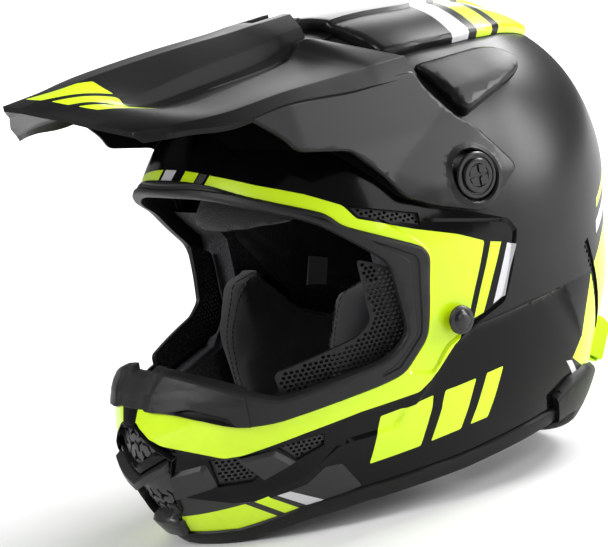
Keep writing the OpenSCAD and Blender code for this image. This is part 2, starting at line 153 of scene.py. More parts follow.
PORT = [(-260, 196), (-128, 195), (-115, 186), (-90, 172), (-60, 142), (-58, 101), (-71, 91),
        (-127, 82), (-142, 90), (-160, 101), (-168, 106), (-260, 110)]
PORT_OUTER = [(-260, 206), (-124, 204), (-112, 192), (-83, 176), (-78, 168), (-40, 147), (-37, 141),
              (-46, 97), (-62, 80), (-75, 77), (-130, 69), (-146, 70), (-173, 84), (-260, 90)]
RIM = [(-260, 0), (-146, 0), (-119, 8), (-90, 12), (-28, 16), (20, 22), (45, 25), (52, 25),
       (60, 14), (66, 0), (200, 0)]
BUMPER_TOP = [(33.3, 42), (45, 47), (62, 49), (85, 42), (200, 34)]
MOUTH = [(7, 77), (30, 57), (26, 48), (20, 26), (9, 13)]
VENT_FRONT = [(-161, 53), (-150, 54), (-139, 41), (-142, 36), (-157, 36)]
VENT_BACK = [(-131, 54), (-107, 57), (-108, 50), (-122, 44)]
BROW_SLOT = [(-72, 177), (-38, 165), (-38, 158.5), (-69, 170.5)]
CROWN_SLOT = [(-36, 270), (-16, 270), (-16, 236), (-36, 236)]
REAR_SLOT = [(72, 118), (78, 120), (88, 62), (82, 64)]
SCOOP = [(-2, 238), (44, 237), (54, 234), (60, 225), (57, 219), (9, 206)]
ARM = [(-122, 240), (-121, 236), (-106, 222), (-101, 214), (-70, 207), (-56, 190), (-48, 176),
       (-30, 167), (-5, 158), (3, 158), (27, 174), (26, 179), (10, 203), (3, 208), (-12, 230),
       (-14, 239)]
PIVOT = (-2.0, 177.0)
RIVET = (-28.0, 102.0)


def ring_outline(centre, radius, n=28, turn=0.0):
    """A regular polygon, or a circle."""
    return [(centre[0] + radius * math.cos(turn + math.tau * i / n),
             centre[1] + radius * math.sin(turn + math.tau * i / n)) for i in range(n)]


# ---------------------------------------------------------------- mesh building
VIEWS = {"side": (1, 2), "front": (0, 2), "top": (0, 1)}
SIDES = ((1, "left"), (-1, "right"))


def seen_in(points, view):
    """The two coordinates that a view shows."""
    return np.asarray(points, float)[:, list(VIEWS[view])]


def skin_mesh(low, high, step):
    """The outer surface as a grid, cropped to a box."""
    turns, rows = round(360 / step), round(180 / step) - 1
    j, i = np.meshgrid(np.arange(1, rows + 1), np.arange(turns), indexing="ij")
    points = skin(i.ravel() * step, j.ravel() * step)
    points = np.vstack([skin(np.zeros(1), np.zeros(1)), points, skin(np.zeros(1), np.full(1, 180.0))])
    faces = []
    for i in range(turns):
        k = (i + 1) % turns
        faces.append((0, 1 + i, 1 + k))
        for j in range(rows - 1):
            a, b = 1 + j * turns, 1 + (j + 1) * turns
            faces.append((a + i, b + i, b + k, a + k))
        last = 1 + (rows - 1) * turns
        faces.append((len(points) - 1, last + k, last + i))
    low, high = np.array(low), np.array(high)
    kept = [f for f in faces
            if (points[list(f)].max(0) > low).all() and (points[list(f)].min(0) < high).all()]
    return mesh_from(points, kept)


def mesh_from(points, faces):
    """A mesh of the points that the faces use."""
    bm = bmesh.new()
    used = sorted({i for f in faces for i in f})
    verts = {i: bm.verts.new(points[i]) for i in used}
    for f in faces:
        bm.faces.new([verts[i] for i in f])
    return bm


def cut(bm, outline, view="side", where=None):
    """Cuts the mesh along an outline, so that faces lie wholly inside or outside it."""
    u, v = VIEWS[view]

    def touches(face, low, high):
        us = [w.co[u] for w in face.verts]
        vs = [w.co[v] for w in face.verts]
        return min(us) < high[0] and max(us) > low[0] and min(vs) < high[1] and max(vs) > low[1]

    pts = [tuple(map(float, p)) for p in outline]
    low = (min(p[0] for p in pts), min(p[1] for p in pts))
    high = (max(p[0] for p in pts), max(p[1] for p in pts))
    near = [f for f in bm.faces
            if touches(f, low, high) and (where is None or where(f.calc_center_median()))]
    for a, b in zip(pts, pts[1:] + pts[:1]):
        if math.hypot(b[0] - a[0], b[1] - a[1]) < 1e-6:
            continue
        low = (min(a[0], b[0]) - 1e-3, min(a[1], b[1]) - 1e-3)
        high = (max(a[0], b[0]) + 1e-3, max(a[1], b[1]) + 1e-3)
        hit, rest = [], []
        for f in near:
            (hit if touches(f, low, high) else rest).append(f)
        if not hit:
            continue
        place, normal = Vector(), Vector()
        place[u], place[v] = a
        normal[u], normal[v] = b[1] - a[1], a[0] - b[0]
        geom = list(dict.fromkeys(x for f in hit for x in (*f.verts, *f.edges))) + hit
        out = bmesh.ops.bisect_plane(bm, geom=geom, dist=1e-4, plane_co=place, plane_no=normal)
        near = rest + [g for g in out["geom"] if isinstance(g, bmesh.types.BMFace)]


def centres(bm):
    """The middles of the faces."""
    return np.array([f.calc_center_median() for f in bm.faces]).reshape(-1, 3)


def drop(bm, gone):
    """Deletes the faces marked in a list of booleans."""
    bmesh.ops.delete(bm, geom=[f for f, g in zip(bm.faces, gone) if g], context="FACES")


def arrays(bm):
    """Points and faces of a mesh, which is then freed."""
    bm.verts.index_update()
    points = np.array([v.co for v in bm.verts]).reshape(-1, 3)
    faces = [tuple(v.index for v in f.verts) for f in bm.faces]
    bm.free()
    return points, faces


def within(mid, view, outline, test=None):
    """Which points lie inside an outline, and pass a test if there is one."""
    hit = inside(seen_in(mid, view), outline) > 0
    if test:
        hit &= np.array([bool(test(Vector(m))) for m in mid])
    return hit


def close_up(top, bottom, faces):
    """Joins a top sheet to a bottom sheet along their open edges."""
    n = len(top)
    directed = {(a, b) for f in faces for a, b in zip(f, f[1:] + f[:1])}
    walls = [(b, a, a + n, b + n) for f in faces for a, b in zip(f, f[1:] + f[:1])
             if (b, a) not in directed]
    under = [tuple(i + n for i in reversed(f)) for f in faces]
    return np.vstack([top, bottom]), faces + under + walls


def layers(points, outer_depth, inner_depth, faces, mirror=False):
    """A sheet between two depths under the outer surface, closed along its edges."""
    top, bottom = at_depth(points, outer_depth), at_depth(points, inner_depth)
    if mirror:
        top, bottom = top * [-1, 1, 1], bottom * [-1, 1, 1]
    return close_up(top, bottom, faces)


def grid_faces(m, n, closed=False):
    """Faces between m rows of n points, each row joined to its start if closed."""
    return [(j * n + i, j * n + (i + 1) % n, (j + 1) * n + (i + 1) % n, (j + 1) * n + i)
            for j in range(m - 1) for i in range(n if closed else n - 1)]


def tube_faces(m, n, base=0):
    """Faces of a tube of m rings of n points, closed at both ends."""
    walls = [tuple(base + i for i in f) for f in grid_faces(m, n, closed=True)]
    last = base + (m - 1) * n
    return walls + [tuple(range(base, base + n))[::-1], tuple(range(last, last + n))]


def add_object(name, data):
    """Puts a new object in the scene."""
    obj = bpy.data.objects.new(name, data)
    bpy.context.scene.collection.objects.link(obj)
    return obj


def finish_mesh(obj, sharp):
    """Smooth shading, with edges kept where the surface bends by more than an angle."""
    obj.data.shade_smooth()
    obj.data.set_sharp_from_angle(angle=math.radians(sharp))


def add_piece(name, points, faces, materials, index=None, body="helmet", slot=None, sharp=38.0,
              stands_for=()):
    """Makes an object of arrays in millimetres, and has it ride on a body."""
    mesh = bpy.data.meshes.new(name)
    mesh.from_pydata((np.asarray(points) * MM).tolist(), [], [list(f) for f in faces])
    for m in materials:
        mesh.materials.append(m)
    if index is not None:
        full = list(index) + [0] * (len(faces) - len(index))
        mesh.polygons.foreach_set("material_index", full)
    bm = bmesh.new()
    bm.from_mesh(mesh)
    bmesh.ops.remove_doubles(bm, verts=bm.verts, dist=2e-6)
    bmesh.ops.recalc_face_normals(bm, faces=bm.faces)
    bm.to_mesh(mesh)
    bm.free()
    obj = add_object(name, mesh)
    finish_mesh(obj, sharp)
    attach(obj, body)
    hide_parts(*stands_for)
    return obj


def rounding(distance, bevel):
    """0 at an edge and 1 at bevel from it, along a quarter circle."""
    t = np.clip(distance / bevel, 0, 1)
    return np.sqrt(np.clip(1 - (1 - t) ** 2, 0, 1))


def skin_piece(name, outer, holes=(), face=-2.0, back=0.3, bevel=1.0, low=(-130, -260, -30),
               high=(130, 170, 310), relief=(), paint=(), materials=(), mirror=False, step=3.0,
               sharp=38.0, plain=(), edge_share=0.25, shape=None, walls=None, **facts):
    """A piece that follows the shell between two depths, inside some outlines and outside others.

    outer and holes are lists of (view, outline).  plain is a list of (view, outline, keep the
    inside) cut with no rounding, relief of (view, outline, height, bevel) and paint of (view,
    outline, material number).  edge_share is the height left at an edge, shape scales the height
    from the points, and walls gives the side walls' material number from their middles.
    """
    bm = skin_mesh(low, high, step)
    for view, outline in list(outer) + list(holes) + [(v, o) for v, o, _ in plain]:
        cut(bm, outline, view)
    for lines, width in ((outer, bevel), (holes, -bevel)):
        for view, outline in lines:
            for share in (0.3, 1.0):
                cut(bm, inset(outline, width * share), view)
    for view, outline, height, width in relief:
        cut(bm, outline, view)
        cut(bm, inset(outline, width), view)
    for view, outline, number in paint:
        cut(bm, outline, view)
    mid = centres(bm)
    out = np.zeros(len(mid), bool)
    for view, outline in outer:
        out |= inside(seen_in(mid, view), outline) < 0
    for view, outline in holes:
        out |= within(mid, view, outline)
    for view, outline, keep in plain:
        out |= within(mid, view, outline) != keep
    out |= (mid < np.array(low) - 1e-6).any(1) | (mid > np.array(high) + 1e-6).any(1)
    drop(bm, out)
    mid = centres(bm)
    index = np.zeros(len(mid), int)
    for view, outline, number in paint:
        index[within(mid, view, outline)] = number
    points, faces = arrays(bm)
    edge = np.full(len(points), 1e9)
    for view, outline in outer:
        edge = np.minimum(edge, inside(seen_in(points, view), outline))
    for view, outline in holes:
        edge = np.minimum(edge, -inside(seen_in(points, view), outline))
    share = edge_share + (1 - edge_share) * rounding(edge, bevel)
    if shape:
        share = share * shape(points)
    depth = back + (face - back) * share
    outward = -1 if face < back else 1
    for view, outline, height, width in relief:
        t = np.clip(inside(seen_in(points, view), outline) / width, 0, 1)
        depth = depth + outward * height * t
    all_points, all_faces = layers(points, depth, back, faces, mirror)
    numbers = index.tolist() + index.tolist()
    if walls:
        numbers += [walls(all_points[list(f)].mean(0)) for f in all_faces[2 * len(faces):]]
    add_piece(name, all_points, all_faces, materials, numbers, sharp=sharp, **facts)


def lathe(profile, n=48):
    """A turned shape about +X from (height, radius) pairs, closed at both ends."""
    points = [(h, *p) for h, r in profile for p in ring_outline((0, 0), r, n)]
    return np.array(points), tube_faces(len(profile), n)


# ---------------------------------------------------------------- materials
def new_material(name):
    """A material, its node tree, its shader and the place of each point on its object."""
    mat = bpy.data.materials.new(name)
    mat.use_nodes = True
    tree = mat.node_tree
    place = tree.nodes.new("ShaderNodeTexCoord").outputs["Object"]
    return mat, tree, tree.nodes["Principled BSDF"], place


def set_inputs(tree, made, inputs):
    """Gives a node's inputs their values, or links them where the value is an output."""
    for key, value in inputs.items():
        if isinstance(value, bpy.types.NodeSocket):
            tree.links.new(value, made.inputs[key])
        else:
            made.inputs[key].default_value = value


def node(tree, kind, output, inputs, **settings):
    """Adds a node, and returns one of its outputs."""
    made = tree.nodes.new("ShaderNode" + kind)
    for key, value in settings.items():
        setattr(made, key, value)
    set_inputs(tree, made, inputs)
    return made.outputs[output]


def ramp(tree, factor, stops):
    """A colour that changes with a factor between two stops, each a (factor, colour) pair."""
    made = tree.nodes.new("ShaderNodeValToRGB")
    for element, (place, colour) in zip(made.color_ramp.elements, stops):
        element.position, element.color = place, (*colour, 1)
    tree.links.new(factor, made.inputs["Fac"])
    return made.outputs["Color"]


def plastic(name, colour, rough, spread=0.03, grain=1500.0, bump=0.05, coat=0.0, metal=0.0,
            specular=0.5, tint=0.82):
    """Colour and roughness that drift over the surface, and a fine moulded or sprayed texture."""
    mat, tree, bsdf, place = new_material(name)
    drift = node(tree, "TexNoise", "Fac",
                 {"Vector": place, "Scale": 35.0, "Detail": 4.0, "Roughness": 0.6})
    fine = node(tree, "TexNoise", "Fac",
                {"Vector": place, "Scale": grain, "Detail": 3.0, "Roughness": 0.65})
    dark = tuple(c * tint for c in colour)
    spanned = node(tree, "MapRange", "Result",
                   {"Value": fine, "From Min": 0.3, "From Max": 0.7, "To Min": rough - spread,
                    "To Max": rough + spread})
    normal = node(tree, "Bump", "Normal", {"Height": fine, "Strength": bump, "Distance": 0.0004})
    set_inputs(tree, bsdf, {
        "Base Color": ramp(tree, drift, [(0.3, dark), (0.7, colour)]), "Roughness": spanned,
        "Normal": normal, "Metallic": metal, "Coat Weight": coat, "Coat Roughness": 0.04,
        "Specular IOR Level": specular})
    return mat


def cloth(name, colour, pitch, depth, sheen, tint=0.6):
    """Knit or weave: waves along the three axes, worked out from the place."""
    mat, tree, bsdf, place = new_material(name)
    waves = [node(tree, "TexWave", "Fac", {"Vector": place, "Scale": 1 / pitch, "Distortion": 0.4,
                                           "Detail": 1.0, "Detail Scale": 2.0},
                  bands_direction=direction) for direction in "XYZ"]
    crossed = node(tree, "Math", 0, {0: waves[0], 1: waves[1]}, operation="MULTIPLY")
    weave = node(tree, "Math", 0, {0: crossed, 1: waves[2]}, operation="ADD")
    drift = node(tree, "TexNoise", "Fac",
                 {"Vector": place, "Scale": 60.0, "Detail": 5.0, "Roughness": 0.65})
    blend = node(tree, "Math", 0, {0: weave, 1: 0.35}, operation="MULTIPLY")
    total = node(tree, "Math", 0, {0: blend, 1: drift}, operation="ADD")
    dark = tuple(c * tint for c in colour)
    normal = node(tree, "Bump", "Normal", {"Height": weave, "Strength": depth, "Distance": 0.0006})
    set_inputs(tree, bsdf, {
        "Base Color": ramp(tree, total, [(0.35, dark), (1.1, colour)]), "Normal": normal,
        "Roughness": 0.9, "Sheen Weight": sheen, "Sheen Roughness": 0.45})
    return mat


def bead_foam():
    """Expanded beads, packed close."""
    mat, tree, bsdf, place = new_material("bead_foam")
    beads = node(tree, "TexVoronoi", "Distance", {"Vector": place, "Scale": 380.0},
                 feature="DISTANCE_TO_EDGE")
    shade = ramp(tree, beads, [(0.0, (0.012, 0.012, 0.013)), (0.25, (0.05, 0.05, 0.055))])
    normal = node(tree, "Bump", "Normal", {"Height": beads, "Strength": 0.5, "Distance": 0.0008})
    set_inputs(tree, bsdf, {"Base Color": shade, "Normal": normal, "Roughness": 0.75})
    return mat


SATIN = plastic("satin_black_paint", (0.0045, 0.0045, 0.005), 0.33, 0.02, 2600, 0.03, specular=0.3)
GLOSS = plastic("gloss_black_paint", (0.0015, 0.0015, 0.0018), 0.14, 0.02, 900, 0.01, coat=0.1,
                specular=0.16)
YELLOW = plastic("hi_vis_paint", (0.66, 0.94, 0.0), 0.36, 0.03, 1800, 0.02, coat=0.5, tint=0.95)
WHITE = plastic("light_grey_paint", (0.62, 0.62, 0.64), 0.3, 0.03, 1800, 0.02, coat=0.5, tint=0.94)
GREY = plastic("dark_grey_paint", (0.03, 0.03, 0.031), 0.38, 0.03, 1800, 0.04)
PEAK_BLACK = plastic("peak_plastic", (0.006, 0.006, 0.0065), 0.38, 0.03, 2200, 0.06, specular=0.22)
FACET = plastic("facet_plastic", (0.016, 0.016, 0.0165), 0.38, 0.03, 2200, 0.08)
RUBBER = plastic("trim_rubber", (0.009, 0.009, 0.0095), 0.5, 0.05, 1600, 0.16, specular=0.35)
GUARD = plastic("guard_rubber", (0.011, 0.011, 0.0115), 0.5, 0.05, 1600, 0.16, specular=0.35)
# the real black of the rim trim, the nape bumper and the shell's inside; also painted shade on the
# scoop's front wall, the sunk slots of the nose guard and the peak, and the sheets behind the vents
DARK = plastic("dark_moulding_and_painted_shade", (0.002, 0.002, 0.002), 0.5, 0.05, 1500, 0.1, specular=0.3)
GRILLE = plastic("grille_plastic", (0.04, 0.04, 0.041), 0.42, 0.04, 1500, 0.12)
MESH = plastic("mesh_plastic", (0.012, 0.012, 0.0125), 0.38, 0.05, 1500, 0.1)
SCREW = plastic("screw_plastic", (0.004, 0.004, 0.0045), 0.3, 0.04, 1500, 0.08)
STEEL = plastic("plated_steel", (0.62, 0.62, 0.64), 0.26, 0.08, 700, 0.05, metal=1.0)
BRASS = plastic("plain_brass", (0.72, 0.52, 0.22), 0.32, 0.08, 700, 0.05, metal=1.0)
NYLON = plastic("snap_nylon", (0.7, 0.7, 0.68), 0.45, 0.05, 1500, 0.08, tint=0.94)
SUEDE = cloth("pad_suede", (0.022, 0.022, 0.024), 0.0011, 0.25, sheen=0.35)
LINING = cloth("liner_knit", (0.007, 0.007, 0.008), 0.0016, 0.6, sheen=0.12)
BROW_CLOTH = cloth("brow_knit", (0.012, 0.012, 0.013), 0.0024, 0.9, sheen=0.15)
WEBBING = cloth("strap_webbing", (0.012, 0.012, 0.013), 0.0012, 0.8, sheen=0.2)
THREAD = cloth("thread", (0.05, 0.05, 0.052), 0.0006, 0.6, sheen=0.2)
LABEL = cloth("woven_label", (0.16, 0.16, 0.165), 0.0008, 0.5, sheen=0.2, tint=0.8)
FOAM = bead_foam()

# ---------------------------------------------------------------- shell
above_rim = raised(RIM[:-1], 4) + [(200, 4), (200, 320), (-260, 320)]
GLOSS_AREA = [(-260, 250), (-100, 250), (-104, 216), (-70, 207), (-56, 190), (-46, 176),
              (-30, 166), (-5, 157), (16, 148), (20, 141), (3, 104), (-18, 97), (20, 100),
              (45, 101), (76, 101), (60, 67), (50, 57), (40, -30), (-260, -30)]
STEP_AREA = [(-78, 184), (-73, 177.5), (-37, 161.5), (16, 148), (20.5, 141), (12, 120), (3, 104),
             (-18, 96.5), (-36, 88), (-46, 75), (-62, 80), (-46, 97), (-37, 141), (-40, 147)]
CREASE_DEPTH = 2.6
CREASE_AREA = [(-36, 88), (-18, 96), (20, 99), (48, 101), (60, 66), (50, 56), (10, 45), (-30, 52),
               (-60, 60)]
BAND = [(-260, 211), (-122, 209), (-116, 203.5), (-106, 196.5), (-89, 187.5), (-74.5, 178),
        (-70, 169.5), (-42, 157), (-18, 148), (-2, 140), (-19, 104), (-28, 92), (-44, 76), (-56, 68),
        (-88, 65), (-117, 60), (-146, 54), (-154, 54), (-176, 65), (-182, 74), (-200, 78),
        (-260, 78)]
BLACK_RECESS = [(-182, 73), (-176, 65), (-154, 54), (-146, 54), (-117, 60), (-88, 65), (-60, 67),
                (-69, 50), (-98, 48), (-105, 41), (-117, 30), (-137, 25), (-150, 26), (-169, 33),
                (-176, 50)]
FACET_FRONT = [(-180, 47), (-172, 48.5), (-162, 51), (-157, 36.5), (-167, 33), (-180, 31)]
FACET_BACK = [(-149.5, 51.5), (-132, 53), (-122, 43.5), (-137, 36)]
LOWER_GREY = [(-182, 30), (-169, 33), (-150, 26), (-137, 25), (-117, 30), (-108, 38), (-100, 38),
              (-90, 22), (-120, 14), (-146, 5), (-182, 5)]
CHIN_YELLOW = [(-182, 19.5), (-168, 20), (-145, 24.5), (-130, 13.5), (-151, 7), (-162, 7),
               (-182, 8)]
CHIN_STRIPE = [(-141, 25), (-135, 26.5), (-120, 16), (-126, 14)]
CHIN_WHITE = [(-131, 26.5), (-125, 27.5), (-109, 18.5), (-116, 16.5)]
STRIPE_YELLOW = [(2, 138.5), (9, 136.5), (-11, 101), (-17.5, 99.5)]
STRIPE_WHITE = [(13, 135), (17.5, 133), (4, 107), (-4, 104)]
SLANT_BARS = [[(-86, 34), (-58, 37), (-48, 63), (-78, 59)],
              [(-52, 38), (-34, 40), (-22, 66), (-41, 64)],
              [(-28, 41), (-17, 42), (-4, 68), (-15, 67)]]
REAR_YELLOW = [(49, 57), (60, 67), (76, 101), (98, 116), (114, 124), (170, 146), (170, 30),
               (66, 44)]
REAR_WHITE = [(90, 119), (116, 131), (170, 152), (170, 160), (116, 139), (92, 126)]
REAR_STRIPE = [(95, 133), (118, 145), (170, 166), (170, 171), (118, 150), (96, 138)]
REAR_MARK = [(43, 57), (48, 56), (56, 44), (51, 44)]


def front(c):
    """Whether a face's middle is on the front of the helmet."""
    return c.y < -100


def on_brow(c):
    """Whether a face's middle is on the brow, over the eyeport."""
    return abs(c.x) < 60 and c.z > 190 and c.y < -60


def brow_slice(x0, x1):
    """A slanted cell of the brow stripe, in front view."""
    return [(x0 + 3, 214), (x1 + 3, 214), (x1 - 3, 198), (x0 - 3, 198)]


# Numbers of the shell's materials, after 0 for the satin black
SHINY, HI_VIS, PALE_GREY, DARK_GREY, FACETED, INNER = range(1, 7)
BROW_BLACK = brow_slice(-9, 36)
BROW_CELLS = [(brow_slice(-6, 6), PALE_GREY), (brow_slice(15, 27), HI_VIS),
              (brow_slice(28, 34), DARK_GREY)]
NOSE_OPENING = [(-24, 91), (24, 91), (28, 120), (-28, 120)]


def build_shell():
    bm = skin_mesh((-130, -260, -30), (130, 170, 310), 2.5)
    holes = [("side", inset(PORT, -3.4), None), ("front", both(MOUTH), front),
             ("side", VENT_FRONT, None), ("side", VENT_BACK, None), ("side", BROW_SLOT, None),
             ("front", NOSE_OPENING, front),
             ("side", CROWN_SLOT, lambda c: 30 < abs(c.x) < 62),
             ("side", REAR_SLOT, lambda c: abs(c.x) > 40),
             ("side", ring_outline(PIVOT, 6.8), lambda c: abs(c.x) > 90)]
    # (outline, height, bevel): the part that is let in under the peak's arm, and the chin's facets
    relief = [(soft(STEP_AREA, 4), -1.9, 1.6), (BLACK_RECESS, -1.6, 3.0),
              (FACET_FRONT, 2.6, 1.5), (FACET_BACK, 2.6, 1.5)]
    paint = [(GLOSS_AREA, SHINY), (soft(LOWER_GREY, 1), FACETED), (soft(BAND, 1.5), HI_VIS),
             (BLACK_RECESS, SHINY), (FACET_FRONT, FACETED), (FACET_BACK, FACETED),
             (CHIN_YELLOW, HI_VIS), (CHIN_STRIPE, HI_VIS), (CHIN_WHITE, PALE_GREY),
             (STRIPE_YELLOW, HI_VIS), (STRIPE_WHITE, PALE_GREY), (REAR_YELLOW, HI_VIS),
             (REAR_WHITE, PALE_GREY), (REAR_STRIPE, HI_VIS), (REAR_MARK, PALE_GREY)]
    paint += [(soft(bar, 1), HI_VIS) for bar in SLANT_BARS]
    cut(bm, above_rim)
    for view, outline, test in holes:
        cut(bm, outline, view, test)
    for outline, height, width in relief:
        cut(bm, outline)
        cut(bm, inset(outline, width))
    for outline, number in paint:
        cut(bm, outline)
    for outline, number in [(BROW_BLACK, SHINY)] + BROW_CELLS:
        cut(bm, outline, "front", on_brow)
    crease = [(-60, 60), (-36, 88), (-18, 96), (20, 99), (48, 101), (90, 108)]
    cut(bm, CREASE_AREA)
    cut(bm, band(crease, raised(crease, -1.6)))
    mid = centres(bm)
    gone = inside(seen_in(mid, "side"), above_rim) < 0
    for view, outline, test in holes:
        gone |= within(mid, view, outline, test)
    drop(bm, gone)
    mid = centres(bm)
    index = np.zeros(len(mid), int)
    for outline, number in paint:
        index[within(mid, "side", outline)] = number
    striped = (mid[:, 2] > 190) & (mid[:, 1] < -60) & (index == HI_VIS)
    for outline, number in [(BROW_BLACK, SHINY)] + BROW_CELLS:
        index[striped & within(mid, "front", outline)] = number
    points, faces = arrays(bm)
    side = seen_in(points, "side")
    depth = np.zeros(len(points))
    for outline, height, width in relief:
        depth -= height * np.clip(inside(side, outline) / width, 0, 1)
    # the cheek falls away under the crease, and comes back to the shell further down
    below = np.clip(inside(side, CREASE_AREA), 0, None)
    line = np.interp(side[:, 0], [p[0] for p in crease], [p[1] for p in crease])
    fall = np.clip((line - side[:, 1]) / 1.6, 0, 1) * np.clip(1 - (line - side[:, 1]) / 45, 0, 1)
    ends = np.clip(below / 6, 0, 1) ** 0.5
    depth += CREASE_DEPTH * fall * ends * (np.abs(points[:, 0]) > 60)
    all_points, all_faces = layers(points, depth, SHELL_T, faces)
    full = np.full(len(all_faces), INNER)
    full[:len(faces)] = index
    add_piece("shell_moulding", all_points, all_faces,
              [SATIN, GLOSS, YELLOW, WHITE, GREY, FACET, DARK], full.tolist(),
              slot="shell_black", sharp=32, stands_for=["outer_shell"])


build_shell()

# ---------------------------------------------------------------- rubber trims and vents
port_soft, outer_soft = soft(PORT, 7, 5), soft(PORT_OUTER, 6, 4)
NOSE_LINE = [(-260, 20), (-260, 150), (-141, 150), (-141, 20)]
NOSE_FACET = [(-260, 93), (-172, 89), (-160, 87), (-146, 79), (-141, 79), (-141, 86),
              (-160, 98), (-260, 104)]
NOSE_SLOT = [(-169, 84.6), (-162, 85.6), (-149, 78), (-145.5, 71), (-154, 75.5)]
TRIM_GROOVE = [(-260, 201), (-121, 200), (-108, 188), (-84, 173), (-78, 164), (-46, 144),
               (-44, 140), (-50, 100), (-64, 85), (-75, 82), (-75, 84), (-66, 88), (-53, 101),
               (-50, 141), (-84, 171), (-111, 190), (-124, 197), (-260, 198)]
NOSE_PANEL = [(-15, 82), (15, 82), (21, 96), (25, 120), (-25, 120), (-21, 96)]
NOSE_NOTCH = [(-13, 120), (-12, 105), (-8, 102), (8, 102), (12, 105), (13, 120)]
skin_piece("eyeport_rubber", [("side", outer_soft)], [("side", port_soft)],
           face=-2.6, back=3.0, bevel=2.2, materials=[RUBBER], slot="trim_rubber",
           stands_for=["eyeport_trim"], step=2.5, plain=[("side", NOSE_LINE, False)],
           relief=[("side", soft(TRIM_GROOVE, 2), -0.9, 0.8)])
skin_piece("nose_guard_rubber", [("side", outer_soft)],
           [("side", port_soft), ("front", NOSE_NOTCH)],
           shape=lambda points: 1 - 0.3 * np.clip((points[:, 2] - 86) / 14, 0, 1),
           face=-3.4, back=6.0, bevel=1.8, materials=[GUARD, DARK],
           slot="trim_rubber", stands_for=["nose_guard"], step=2.5,
           plain=[("side", [(-260, 20), (-260, 150), (-140.6, 150), (-140.6, 20)], True)],
           relief=[("side", NOSE_FACET, 0.8, 3.0), ("side", NOSE_SLOT, -2.7, 1.2),
                   ("front", NOSE_PANEL, -2.4, 3.5)],
           # the sunk slot gets the near-black material: painted shade
           paint=[("side", NOSE_SLOT, 1)])
skin_piece("edge_trim", [("side", band(RIM, raised(RIM, 9)))], face=-2.0, back=0.2, bevel=1.4,
           high=(130, 33, 310), materials=[DARK], slot="trim_rubber", stands_for=["base_trim"])
skin_piece("nape_bumper", [("side", band(RIM[4:], BUMPER_TOP))], face=-4.6, back=0.2, bevel=2.6,
           low=(-130, 33.3, -30), materials=[DARK], slot="trim_rubber",
           stands_for=["rear_bumper"])


def holed(name, outline, holes, view, face, back, low, high, material, mirror=False, **facts):
    """A thin grille: a plate that follows the shell, pierced by small outlines."""
    bm = skin_mesh(low, high, 2.0)
    cut(bm, outline, view)
    mid = centres(bm)
    drop(bm, inside(seen_in(mid, view), outline) < 0)
    for hole in holes:
        cut(bm, hole, view)
    mid = centres(bm)
    gone = np.zeros(len(mid), bool)
    for hole in holes:
        gone |= within(mid, view, hole)
    drop(bm, gone)
    points, faces = arrays(bm)
    all_points, all_faces = layers(points, face, back, faces, mirror)
    add_piece(name, all_points, all_faces, [material], **facts)


def honeycomb(outline, pitch, size, sides=6, turn=0.0):
    """Small polygons on a triangular grid inside an outline."""
    low, high = np.min(outline, 0), np.max(outline, 0)
    spots = []
    for row, v in enumerate(np.arange(low[1], high[1], pitch * 0.866)):
        u = low[0] + (row % 2) * pitch / 2
        while u < high[0]:
            spots.append((u, v))
            u += pitch
    kept = [s for s, d in zip(spots, inside(spots, outline)) if d > size * 0.7]
    return [ring_outline(c, size, sides, turn) for c in kept]


def tri_star(centre, arm, width, turn):
    """A three-armed slot, as one outline."""
    points, centre = [], np.array(centre)
    for k in range(3):
        a, notch = (turn + math.tau * (k + more) / 3 for more in (0, 0.5))
        along, between = (np.array([math.cos(b), math.sin(b)]) for b in (a, notch))
        across = np.array([-along[1], along[0]])
        points += [tuple(centre + along * arm - across * width),
                   tuple(centre + along * arm + across * width),
                   tuple(centre + width * 1.6 * between)]
    return points


MOUTH_OUTLINE = both(MOUTH)
MOUTH_BOX = {"low": (-50, -260, -5), "high": (50, -100, 95)}


def mouth_stars():
    """Star-shaped holes in rows, every second row turned over."""
    stars = []
    for row, z in enumerate((71, 63.5, 56, 48.5, 32, 25, 18.5)):
        for k in range(-3, 4):
            centre = np.array([k * 8.2 + (row % 2) * 4.1, z])
            if inside([centre], MOUTH_OUTLINE)[0] > 3.2:
                turn = math.pi / 2 + (row % 2) * math.pi + k * 0.35
                stars.append(tri_star(centre, 4.2, 0.75, turn))
    return stars


holed("mouth_grille", MOUTH_OUTLINE, mouth_stars(), "front", 3.6, 6.4, (-40, -230, 0),
      (40, -100, 90), GRILLE, slot="mesh_grey", stands_for=["chin_vent_mesh"])
# a dark sheet behind the mouth grille: painted shade for the inside of the vent
skin_piece("mouth_shade_sheet", [("front", inset(MOUTH_OUTLINE, 0.6))], face=9.4, back=10.6,
           low=(-45, -260, -5), high=(45, -100, 95), bevel=0.4, materials=[DARK], slot="mesh_grey")
skin_piece("mouth_frame", [("front", inset(MOUTH_OUTLINE, -0.9))],
           [("front", inset(MOUTH_OUTLINE, 1.1))], face=-1.6, back=8.0, bevel=0.7,
           materials=[GLOSS], slot="gloss_black", stands_for=["chin_vent_frame"], step=2.0,
           **MOUTH_BOX)
LEDGE = [(-28, 57.5), (-27, 51), (0, 39.5), (27, 51), (28, 57.5), (0, 45.5)]
LEDGE_TOP = [(-27, 61), (-28, 57), (0, 45), (28, 57), (27, 61), (20, 62), (6, 54.5), (0, 52.5),
             (-6, 54.5), (-20, 62)]
MOUTH_BRIDGE = [(-6, 74), (6, 74), (9, 87), (-9, 87)]
MOUTH_FOOT = [(-16, 18), (-10, 21), (10, 21), (16, 18), (11, 8), (-11, 8)]
skin_piece("mouth_ledge", [("front", LEDGE)], face=-4.2, back=8.0, bevel=1.0, materials=[FACET],
           slot="gloss_black", stands_for=["chin_vent_ledge"], step=2.0, **MOUTH_BOX)
